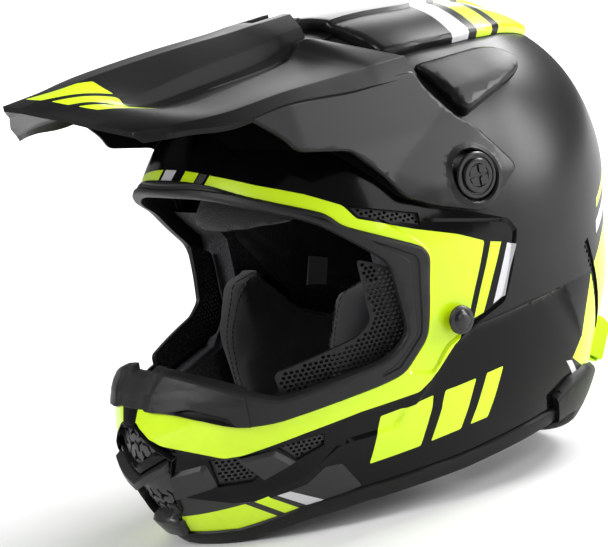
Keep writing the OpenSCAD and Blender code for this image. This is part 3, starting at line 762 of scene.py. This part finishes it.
skin_piece("mouth_ledge_top", [("front", LEDGE_TOP)], face=0.8, back=7.0, bevel=1.6,
           materials=[GLOSS], slot="gloss_black", step=2.0, **MOUTH_BOX)
skin_piece("mouth_bridge", [("front", MOUTH_BRIDGE)], face=-0.6, back=4.0, bevel=0.8,
           low=(-50, -260, 60), high=(50, -100, 95), materials=[GLOSS], slot="gloss_black",
           step=2.0)
skin_piece("mouth_foot", [("front", soft(MOUTH_FOOT, 2))], face=-4.2, back=6.0, bevel=2.0,
           materials=[FACET], slot="gloss_black", step=2.0, **MOUTH_BOX)


def vent(names, outline, low, high, deep, shallow, weave, slot, s, stands_for):
    """A dark sheet at one depth behind a side vent, painted shade for the inside of the vent, and a
    grille at a smaller depth.
    """
    skin_piece(names[0], [("side", inset(outline, -1.5))], face=deep, back=deep + 1.2, bevel=0.4,
               low=low, high=high, materials=[DARK], mirror=s < 0, slot=slot)
    holed(names[1], inset(outline, -1.5), weave, "side", shallow, shallow + 1.2, low, high, MESH,
          mirror=s < 0, slot=slot, stands_for=stands_for)


for s, side in SIDES:
    for part, outline, stands_for in (("front", VENT_FRONT, [f"chin_side_mesh_{side}"]),
                                      ("back", VENT_BACK, [])):
        vent((f"chin_side_shade_sheet_{part}_{side}", f"chin_side_grille_{part}_{side}"), outline,
             (30, -200, 20), (130, -90, 70), 9.0, 4.2,
             honeycomb(outline, 2.6, 1.05, 4, math.pi / 4), "mesh_grey", s, stands_for)
    vent((f"brow_shade_sheet_{side}", f"brow_grille_{side}"), BROW_SLOT, (30, -100, 140),
         (130, -20, 190), 8.0, 4.0, honeycomb(BROW_SLOT, 2.6, 0.95), "matte_black", s,
         [f"brow_vent_mesh_{side}"])
    # perforated rubber between the trim and the cheek pads
    strip = soft([(-76, 148), (-64, 142), (-57, 138), (-54, 100), (-66, 86), (-128, 77), (-130, 92),
                  (-84, 103), (-75, 110)], 3)
    holed(f"eyeport_grille_{side}", strip, honeycomb(inset(strip, 1.2), 2.9, 1.12), "side", 11.5,
          14.0, (25, -150, 70), (130, -45, 155), GUARD, mirror=s < 0, slot="trim_rubber",
          stands_for=[f"eyeport_mesh_{side}"])
    skin_piece(f"crown_grille_{side}", [("side", inset(CROWN_SLOT, 0.5))], face=1.2, back=2.6,
               bevel=0.4, low=(31, -60, 220), high=(61, 10, 310), materials=[MESH], mirror=s < 0,
               slot="matte_black", stands_for=["crown_intake_mesh"] if s > 0 else [])
    holed(f"rear_grille_{side}", inset(REAR_SLOT, 0.3), honeycomb(REAR_SLOT, 3.4, 1.2), "side", 1.4,
          2.8, (41, 40, 40), (130, 140, 130), MESH, mirror=s < 0, slot="matte_black",
          stands_for=["rear_vent_mesh"] if s > 0 else [])

# ---------------------------------------------------------------- crown pieces
RIDGE_SIDE = [(-17, 230), (-17, 310), (108, 310), (104, 190), (80, 214), (50, 230)]
RIDGE_TOP = [(-36, -16), (36, -16), (68, -13), (71, 0), (70, 36), (68, 62), (60, 84), (50, 104),
             (-50, 104), (-60, 84), (-68, 62), (-70, 36), (-71, 0), (-68, -13)]
RIDGE_STEP = [(-27, -20), (27, -20), (29, 30), (22, 70), (14, 110), (-14, 110), (-22, 70),
              (-29, 30)]


def cross_band(y0, y1):
    """A stripe over the ridge, set back towards the middle."""
    return [(-80, y0), (0, y0 + 10), (80, y0), (80, y1), (0, y1 + 10), (-80, y1)]


skin_piece("crown_ridge_cover", [("top", soft(RIDGE_TOP, 5)), ("side", RIDGE_SIDE)],
           face=-4.8, back=0.2, bevel=3.0, low=(-90, -60, 190), edge_share=0.1,
           materials=[SATIN, WHITE, YELLOW], slot="hi_vis", stands_for=["crown_ridge"], step=2.5,
           relief=[("top", soft(RIDGE_STEP, 4), 2.0, 2.4)],
           paint=[("top", cross_band(34, 46), 1), ("top", cross_band(52, 64), 2),
                  ("top", cross_band(70, 150), 2)])


def scoop_shape(points):
    """Low at the top, where it grows out of the shell, and full along its lower edge."""
    return 0.25 + 0.75 * np.clip((241 - points[:, 2] + 0.12 * points[:, 1]) / 22, 0, 1)


def scoop_wall_painted_shade(middle):
    """The front wall takes the near-black material: painted shade for the scoop's shaded mouth."""
    return 1 if middle[1] < 12 and middle[2] < 236 else 0


SCOOP_SOFT = soft(SCOOP, 5, 5)
for s, side in SIDES:
    skin_piece(f"crown_scoop_{side}", [("side", SCOOP_SOFT)], face=-8.0, back=0.2, bevel=2.4,
               low=(40, -40, 180), high=(130, 80, 280), materials=[SATIN, DARK], mirror=s < 0,
               slot="matte_black", stands_for=[f"side_scoop_{side}"], step=2.0, edge_share=0.4,
               shape=scoop_shape, walls=scoop_wall_painted_shade)
skin_piece("rear_lip", [("side", [(78, 66), (200, 62), (200, 36), (84, 42.6), (82, 50)])], face=-8.4,
           back=0.2, bevel=5.0, low=(-72, 60, 20), high=(72, 170, 80), materials=[YELLOW],
           slot="hi_vis", stands_for=["rear_spoiler"], step=2.5)

# ---------------------------------------------------------------- peak
PEAK_T = 3.0
# Cross-sections of the upper surface from the front edge to the rear edge, from the middle outwards
PEAK_ROWS = [
    [(0, -213, 266), (10, -207.5, 263.5), (20, -201, 259.5), (24, -199, 258.3), (28, -197, 257.2),
     (50, -187.5, 250), (69, -175.5, 242.6), (72, -173, 239.4)],
    [(0, -186, 268.6), (11, -183, 267.4), (28, -176, 260.8), (31, -174.5, 259.4), (36, -172, 257.2),
     (58, -162, 250.6), (86, -155, 243), (90, -154, 239)],
    [(0, -160, 271), (11, -158, 271), (31, -147, 257.5), (33, -146, 251), (38, -145, 249),
     (62, -137, 248.5), (95, -131, 243.5), (99, -131, 237)],
    [(0, -112, 274), (12, -112, 274), (31, -108, 262.5), (34, -108, 253), (39, -107, 251.5),
     (59, -101, 251.5), (97, -97, 246), (101, -97, 240)],
    [(0, -74, 276), (13, -74, 275), (31.5, -72, 266), (35, -72, 256.5), (40, -71, 254),
     (55, -67, 255.5), (96.5, -60, 246.5), (102, -60, 237.5)],
    [(0, -58, 277), (14, -58, 276), (32, -58, 268), (35.5, -58, 260), (41, -56, 257.5),
     (51, -56, 260), (96, -44, 246.8), (101.7, -44, 237)],
    [(0, -50, 277.3), (14.5, -50, 276.3), (32.5, -51, 269), (36, -51, 263), (40, -50, 263),
     (50, -48, 265), (96, -34, 247), (101.2, -34, 236.5)],
    [(0, -32, 278), (15, -32, 277), (33, -38, 270), (36.5, -39, 265), (42, -40, 264),
     (56, -40, 262.5), (95, -15, 247), (100, -13, 236)]]


def smooth_rows(rows, steps):
    """Adds rows between the given ones along smooth curves."""
    rows = np.array(rows, float)
    padded = np.vstack([2 * rows[:1] - rows[1:2], rows, 2 * rows[-1:] - rows[-2:-1]])
    out = []
    for i in range(len(rows) - 1):
        a, b, c, d = padded[i:i + 4]
        for f in np.arange(steps) / steps:
            out.append(b + 0.5 * f * (c - a + f * (2 * a - 5 * b + 4 * c - d
                                                  + f * (3 * (b - c) + d - a))))
    return np.array(out + [rows[-1]])


def round_row(row, size):
    """Rounds the bends of one cross-section, and adds points along its flats."""
    out = [row[0]]
    for corner in zip(row[:-2], row[1:-1], row[2:]):
        bend = rounded(*corner, size, 0.4, 4)
        flat = [out[-1] * (1 - share) + bend[0] * share for share in (0.33, 0.66)]
        out += flat + bend
    return np.array(out + [row[-1]])


PEAK_SLOT = [(41, -60), (53, -62), (53, -72), (47, -106), (42, -112)]
PEAK_BARS = [[(2, -200), (11, -196), (27, -160), (14, -164)],
             [(16, -192), (25, -187), (41, -156), (31, -159)],
             [(30, -184), (40, -178), (56, -151), (45, -154)]]
PEAK_NOTCH = [(-8.4, -54), (8.4, -54), (8.4, -20), (-8.4, -20)]


def build_peak():
    rows = [round_row(r, 0.8) for r in smooth_rows(PEAK_ROWS, 10)]
    half = np.array(rows)
    mirrored = half[:, :0:-1] * [-1, 1, 1]
    grid = np.concatenate([mirrored, half], 1)
    bm = mesh_from(grid.reshape(-1, 3), grid_faces(*grid.shape[:2]))
    slots = [PEAK_SLOT, [(-p[0], p[1]) for p in PEAK_SLOT]]
    bars = [soft(bar, 1) for bar in PEAK_BARS]
    for outline in slots:
        cut(bm, outline, "top")
        cut(bm, inset(outline, 1.2), "top")
    for bar in bars:
        cut(bm, bar, "top")
    cut(bm, PEAK_NOTCH, "top")
    drop(bm, within(centres(bm), "top", PEAK_NOTCH))
    mid = centres(bm)
    index = np.zeros(len(mid), int)
    # the bars are yellow print; the sunk slots get the near-black material, painted shade in the
    # pockets
    for number, outlines in ((1, bars), (2, slots)):
        for outline in outlines:
            index[within(mid, "top", outline)] = number
    points, faces = arrays(bm)
    flat = seen_in(points, "top")
    sunk = np.zeros(len(points))
    for outline in slots:
        sunk = np.maximum(sunk, 2.4 * np.clip(inside(flat, outline) / 1.2, 0, 1))
    top = points - np.outer(sunk, [0, 0, 1])
    # the underside draws in at the sides, where the peak turns down
    inward = np.clip((np.abs(points[:, 0]) - 80) / 12, 0, 1) * 2.6
    bottom = points - np.stack([np.sign(points[:, 0]) * inward, 0 * inward, sunk + PEAK_T], 1)
    all_points, all_faces = close_up(top, bottom, faces)
    obj = add_piece("peak_blade", all_points, all_faces, [PEAK_BLACK, YELLOW, DARK], index.tolist(),
                    body="peak", slot="matte_black", sharp=30, stands_for=["visor"])
    bevel = obj.modifiers.new("edges", "BEVEL")
    bevel.width = 0.0005
    bevel.segments = 2
    bevel.angle_limit = math.radians(40)


# Half width of the arm's outer face at its bends, from the lowest up
ARM_HEIGHTS, ARM_HALF_WIDTHS = [150, 177, 207, 239], [124, 120.2, 110, 101]
ARM_FOLD = [(-51, 189), (8, 222), (40, 222), (40, 100), (-51, 100)]
ARM_T = 3.6


def build_arm(s, side):
    """The flat side plate, with a raised lower edge and a round seat for the pivot screw."""
    us, vs = np.arange(-184, 34, 3.0), np.arange(150, 249, 3.0)
    points = np.array([(0, u, v) for v in vs for u in us])
    bm = mesh_from(points, grid_faces(len(vs), len(us)))
    shape, seat = soft(ARM, 4, 4), ring_outline(PIVOT, 14.0, 36)
    for outline in (shape, inset(shape, 0.4), inset(shape, 1.4), seat, inset(seat, -1.2),
                    inset(seat, -4), ARM_FOLD):
        cut(bm, outline)
    for z in ARM_HEIGHTS[1:-1]:
        cut(bm, [(-200, z), (200, z), (200, z + 50), (-200, z + 50)])
    mid = centres(bm)
    drop(bm, (inside(seen_in(mid, "side"), shape) < 0) | within(mid, "side", seat))
    points, faces = arrays(bm)
    flat = seen_in(points, "side")
    edge = rounding(np.minimum(inside(flat, shape), -inside(flat, seat)), 1.4)
    lift = (edge - 1) * 1.2
    lift += 1.2 * np.clip((inside(flat, seat) + 4) / 2.8, 0, 1)
    # behind the fold the plate turns out a little
    lift += 0.075 * np.clip(inside(flat, ARM_FOLD), 0, 22) - 0.6
    # towards the front the plate follows the peak's side, which narrows
    narrow = np.interp(-points[:, 1], [97, 131, 158, 177], [0.5, 2.5, 8.5, 21.5])
    across = np.interp(points[:, 2], ARM_HEIGHTS, ARM_HALF_WIDTHS)
    top, bottom = points.copy(), points.copy()
    top[:, 0] = across + lift - narrow
    bottom[:, 0] = across - ARM_T - narrow
    all_points, all_faces = close_up(top, bottom, faces)
    add_piece(f"peak_arm_{side}", all_points * [s, 1, 1], all_faces, [SATIN], body="peak",
              slot="matte_black", sharp=30)


def build_tongue():
    """The slotted tongue and its webs under the middle screw."""
    for name, x in (("left", 11.8), ("right", -11.8)):
        points, faces = [], []
        for y, z_low, z_high in ((-55, 256, 274), (-48, 260, 275), (-34, 265, 275)):
            for dx in (-1.2, 1.2):
                points += [(x + dx, y, z_low), (x + dx, y, z_high)]
        for j in range(2):
            a, b = 4 * j, 4 * j + 4
            faces += [(a, a + 1, b + 1, b), (a + 3, a + 2, b + 2, b + 3), (a + 1, a + 3, b + 3, b + 1),
                      (a + 2, a, b, b + 2)]
        faces += [(0, 2, 3, 1), (8, 9, 11, 10)]
        add_piece(f"peak_web_{name}", points, faces, [PEAK_BLACK], body="peak", slot="matte_black")
    lean, inner, outer = math.radians(24), 96.8, 99.2
    points, faces = [], []
    angles = [lean + math.radians(a) for a in np.linspace(-10.4, 10.4, 15)]
    for x0, x1 in ((-13, -3.5), (3.5, 13)):
        faces += tube_faces(len(angles), 4, len(points))
        for a in angles:
            for x, r in ((x0, inner), (x1, inner), (x1, outer), (x0, outer)):
                points.append((x, PIVOT[0] - r * math.sin(a), PIVOT[1] + r * math.cos(a)))
    add_piece("peak_tongue", points, faces, [PEAK_BLACK], body="peak", slot="matte_black")


build_peak()
for s, side in SIDES:
    build_arm(s, side)
build_tongue()


# ---------------------------------------------------------------- screws, rivets, rings
def turned(name, profile, centre, s, body, stands_for, marks=()):
    """A turned piece at a side-view point, with blocks raised on its face as grip marks."""
    points, faces = lathe(profile)
    for mark in marks:
        faces += tube_faces(2, len(mark), len(points))
        points = np.vstack([points, [(x, u, v) for x in MARK_SPAN for u, v in mark]])
    points = (points + [0, centre[0], centre[1]]) * [s, 1, 1]
    add_piece(name, points, faces, [SCREW], body=body, slot="gloss_black", stands_for=stands_for,
              sharp=35)


HEAD_X = 120.6
MARK_SPAN = (HEAD_X + 2.7, HEAD_X + 3.9)
SCREW_PROFILE = [(101, 0.2), (101, 3.6), (102, 4.0), (HEAD_X, 4.0), (HEAD_X, 12.2),
                 (HEAD_X + 0.6, 13.0), (HEAD_X + 1.7, 13.0), (HEAD_X + 2.3, 12.4),
                 (HEAD_X + 2.3, 10.9), (HEAD_X + 1.6, 10.6), (HEAD_X + 1.6, 9.8),
                 (HEAD_X + 3.3, 9.4), (HEAD_X + 3.8, 8.8), (HEAD_X + 3.8, 6.6),
                 (HEAD_X + 2.9, 6.1), (HEAD_X + 2.9, 0.2)]
RIVET_PROFILE = [(107, 0.2), (107, 5.8), (108.2, 6.0), (108.3, 3.0), (118.3, 3.0), (118.4, 7.4),
                 (119.0, 8.1), (120.0, 7.9), (120.4, 7.2), (120.5, 5.6), (120.9, 5.2),
                 (121.8, 4.4), (122.3, 3.0), (122.5, 0.2)]


def grip_marks():
    """Four rounded blocks round the middle, that leave a cross-shaped slot for a coin."""
    marks = []
    for k in range(4):
        turn = math.radians(45 + 90 * k)
        outline = []
        for r, a in ((2.1, -28), (6.0, -37), (6.9, 0), (6.0, 37), (2.1, 28)):
            a = turn + math.radians(a)
            outline.append((r * math.cos(a), r * math.sin(a)))
        marks.append(outline)
    return marks


for s, side in SIDES:
    turned(f"pivot_screw_{side}", SCREW_PROFILE, PIVOT, s, f"screw_{side}",
           [f"visor_screw_{side}"], grip_marks())
    turned(f"rivet_{side}", RIVET_PROFILE, RIVET, s, "helmet", [f"strap_rivet_{side}"])

for material, names in (
        (STEEL, ("visor_bush_left", "visor_bush_right", "d_ring_outer", "d_ring_inner",
                 "strap_snap")),
        (BRASS, ("visor_nut_left", "visor_nut_right", "visor_center_nut")),
        (SCREW, ("visor_center_screw",)), (NYLON, ("cheek_pad_snaps",)),
        (FOAM, ("eps_crown_liner", "eps_chin_bar"))):
    for name in names:
        nodes[name].data.materials.clear()
        nodes[name].data.materials.append(material)

# ---------------------------------------------------------------- liner and pads
COMFORT = [(-44, 134), (-57, 150), (-60, 172), (-60, 290), (200, 290), (200, 60), (54, 60),
           (52, 76), (32, 86), (2, 92), (-23, 108)]
QUILTS = [soft([(-40, 140), (-52, 152), (-55, 200), (-20, 215), (0, 160), (-12, 118)], 8, 4),
          soft([(8, 100), (-4, 118), (8, 160), (40, 170), (60, 120), (50, 86), (30, 92)], 8, 4),
          soft([(64, 70), (60, 84), (70, 120), (90, 130), (110, 70)], 6, 4)]
skin_piece("comfort_lining", [("side", soft(COMFORT, 6, 4))], face=39.5, back=33.8, bevel=5.0,
           materials=[LINING], slot="liner_cloth", stands_for=["comfort_liner"], sharp=80,
           relief=[("side", quilt, 2.4, 6.0) for quilt in QUILTS])
skin_piece("lining_label", [("side", [(-4, 96), (4, 119), (23, 111), (15, 89)])], face=43.6, back=42.2,
           bevel=0.5, high=(0, 170, 310), materials=[LABEL], slot="label_cloth",
           stands_for=["liner_label"])


def as_mesh(obj):
    """Applies an object's modifiers."""
    shown = bpy.context.evaluated_depsgraph_get()
    mesh = bpy.data.meshes.new_from_object(obj.evaluated_get(shown))
    obj.modifiers.clear()
    obj.data = mesh


def cushion(name, node_name, material, cap=0.006):
    """A pad swollen by cloth simulation from its CAD solid, a little smaller to start with.

    cap is how far, in metres, the cloth may move.
    """
    obj = add_object(name, nodes[node_name].data.copy())
    low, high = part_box(node_name)
    middle = (low + high) / 2
    for v in obj.data.vertices:
        v.co = middle + (v.co - middle) * 0.965
    remesh = obj.modifiers.new("remesh", "REMESH")
    remesh.mode, remesh.voxel_size = "VOXEL", 0.0045
    as_mesh(obj)
    ease = obj.modifiers.new("ease", "SMOOTH")
    ease.iterations, ease.factor = 5, 0.5
    as_mesh(obj)
    start = np.array([v.co for v in obj.data.vertices])
    sim = obj.modifiers.new("cloth", "CLOTH")
    sim.settings.use_pressure = True
    sim.settings.uniform_pressure_force = 4.0
    sim.settings.effector_weights.gravity = 0.0
    sim.settings.quality = 4
    for f in range(1, 21):
        bpy.context.scene.frame_set(f)
    as_mesh(obj)
    bpy.context.scene.frame_set(1)
    moved = np.array([v.co for v in obj.data.vertices]) - start
    length = np.linalg.norm(moved, axis=1)
    scale = np.minimum(1, cap / np.maximum(length, 1e-9))
    for v, place in zip(obj.data.vertices, start + moved * scale[:, None]):
        v.co = place
    finer = obj.modifiers.new("finer", "SUBSURF")
    finer.levels = finer.render_levels = 1
    as_mesh(obj)
    obj.data.materials.clear()
    obj.data.materials.append(material)
    finish_mesh(obj, 80)
    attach(obj, "helmet")
    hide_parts(node_name)
    return obj


STITCH_PITCH, THREAD_R = 3.2, 0.42


def stitches(name, pad, route):
    """A row of thread stitches laid on a pad's surface along a route of points, in millimetres."""
    curve = smooth_rows([[p] for p in route], 24)[:, 0]
    gaps = np.r_[0, np.cumsum(np.linalg.norm(np.diff(curve, axis=0), axis=1))]
    places = np.arange(0, gaps[-1], STITCH_PITCH)
    along = np.stack([np.interp(places, gaps, curve[:, k]) for k in range(3)], 1)
    points, faces = [], []
    for a, b in zip(along[:-1], along[1:]):
        faces += tube_faces(4, 6, len(points))
        direction = (b - a) / np.linalg.norm(b - a)
        for share in (0.1, 0.35, 0.6, 0.82):
            p = a + (b - a) * share
            place, normal = (np.array(v) for v in pad.closest_point_on_mesh(Vector(p * MM))[1:3])
            place = place / MM + normal * math.sin(math.pi * share / 0.92) * 0.5
            across = np.cross(direction, normal)
            across /= np.linalg.norm(across)
            points += [place + THREAD_R * (math.cos(t) * across + math.sin(t) * normal)
                       for t in math.tau * np.arange(6) / 6]
    add_piece(name, points, faces, [THREAD], slot="webbing", sharp=60)


for s, side in SIDES:
    pad = cushion(f"cheek_cushion_{side}", f"cheek_pad_{side}", SUEDE)
    for row, inner in ((1, 53), (2, 58)):
        stitches(f"cheek_stitches_{side}_{row}", pad,
                 [(s * inner, -74, 56), (s * inner, -75, 88), (s * inner, -62, 116),
                  (s * inner, -48, 124), (s * inner, -30, 104), (s * inner, 0, 86)])
brow_roll = cushion("brow_cushion", "brow_pad", BROW_CLOTH, cap=0.004)
for v in brow_roll.data.vertices:
    # the roll hangs a little below the trim
    v.co.z -= 0.008
    v.co.y -= 0.003

# ---------------------------------------------------------------- chin strap
STRAP_W, STRAP_T, LOOP_R = 19.0, 1.8, 3.4
STRAP_TOP = [(109.5, 108), (109.5, 94), (105, 70), (95, 52)]
STRAP_TAIL = [(88, 34), (82, 14), (75, 5), (66, 2.0), (12, 2.0), (7, 3.0), (6.5, 4.6), (12, 6.6),
              (60, 6.6)]


def strap(name, path, s=1, stands_for=()):
    """Flat webbing along a front-view path, with ribs, selvedges and rounded edges."""
    route = smooth_rows([[(x, 0, z)] for x, z in path], 8)[:, 0]
    ribs = np.linspace(-1, 1, 23)
    rows = []
    for i, p in enumerate(route):
        step_on = route[min(i + 1, len(route) - 1)] - route[max(i - 1, 0)]
        direction = step_on / np.linalg.norm(step_on)
        normal = np.array([-direction[2], 0, direction[0]])
        over, under = [], []
        for k, w in enumerate(ribs):
            half = STRAP_T / 2 * (0.55 if abs(w) > 0.99 else 1.0) + (0.14 if k % 2 else 0)
            edge = np.array([0, RIVET[0] + w * STRAP_W / 2, 0])
            over.append(p + edge + normal * half)
            under.append(p + edge - normal * half)
        rows.append(over + under[::-1])
    points = np.reshape(rows, (-1, 3)) * [s, 1, 1]
    add_piece(name, points, tube_faces(len(rows), len(rows[0])), [WEBBING], slot="webbing",
              sharp=50, stands_for=stands_for)


def loop(name, centre):
    """A fold of webbing round a D-ring."""
    strap(name, [(centre[0] + LOOP_R * math.cos(a), centre[1] + LOOP_R * math.sin(a))
                 for a in np.linspace(0, math.tau * 0.93, 14)])


strap("strap_left", STRAP_TOP + [(84, 45), (80.5, 42)], 1, ["chin_strap_left"])
strap("strap_right", STRAP_TOP + STRAP_TAIL, -1, ["chin_strap_right"])
loop("ring_loop_outer", (76, 40))
loop("ring_loop_inner", (80.4, 37))

# ---------------------------------------------------------------- stage, light and camera
PALE = plastic("pale_floor", (0.86, 0.86, 0.86), 0.7, 0.03, 60, 0.0, tint=0.98)
ground = bpy.data.meshes.new("studio_floor")
ground.from_pydata([(x, y, -0.0006) for x, y in ((-8, -8), (8, -8), (8, 8), (-8, 8))], [],
                   [(0, 1, 2, 3)])
ground.materials.append(PALE)
add_object("studio_floor", ground)


def softbox(name, place, target, size, power):
    """A lit rectangle, turned to a target."""
    light = bpy.data.lights.new(name, "AREA")
    light.shape = "RECTANGLE"
    light.size, light.size_y = size
    light.energy = power
    obj = add_object(name, light)
    obj.location = place
    obj.rotation_euler = (Vector(target) - Vector(place)).to_track_quat("-Z", "Y").to_euler()


softbox("main_panel", (2.1, 2.5, 1.35), (0.05, 0.03, 0.2), (1.1, 1.9), 105)
softbox("top_back", (-0.2, 2.6, 2.4), (0, 0, 0.2), (2.0, 1.2), 130)
softbox("key_left", (-0.2, -1.9, 1.3), (0, 0, 0.16), (0.7, 0.7), 28)
softbox("side_fill", (2.0, 0.1, 0.9), (0, 0, 0.15), (1.0, 1.0), 9)
softbox("back_rim", (-1.6, 1.2, 0.9), (0, 0, 0.2), (0.6, 1.2), 9)
for name, place in (("floor_spot_left", (-2.6, 0.4, 1.8)), ("floor_spot_right", (-1.2, 2.6, 1.8)),
                    ("floor_spot_far", (-4.6, 2.0, 2.2))):
    spot = bpy.data.lights.new(name, "SPOT")
    spot.energy = 210
    spot.spot_size, spot.spot_blend = math.radians(110), 1.0
    spot.shadow_soft_size = 0.3
    lamp = add_object(name, spot)
    lamp.location = place
    lamp.rotation_euler = (0.1, 0.0, 0.0)

world = bpy.data.worlds.new("studio")
world.use_nodes = True
background = world.node_tree.nodes["Background"].inputs
background["Color"].default_value = (0.93, 0.94, 0.95, 1)
background["Strength"].default_value = 0.25
bpy.context.scene.world = world
bpy.context.scene.view_settings.view_transform = "Standard"

camera = add_object("camera", bpy.data.cameras.new("camera"))
camera.data.lens, camera.data.sensor_width = 151, 36
across = Vector((0.54185, 0.81731, -0.19597))
up = Vector((-0.04999, 0.26409, 0.96320))
back = Vector((0.83899, -0.51212, 0.18395))
turn = Matrix((across, up, back)).transposed().to_4x4()
camera.matrix_world = Matrix.Translation((1.2415, -0.80598, 0.39983)) @ turn
bpy.context.scene.camera = camera
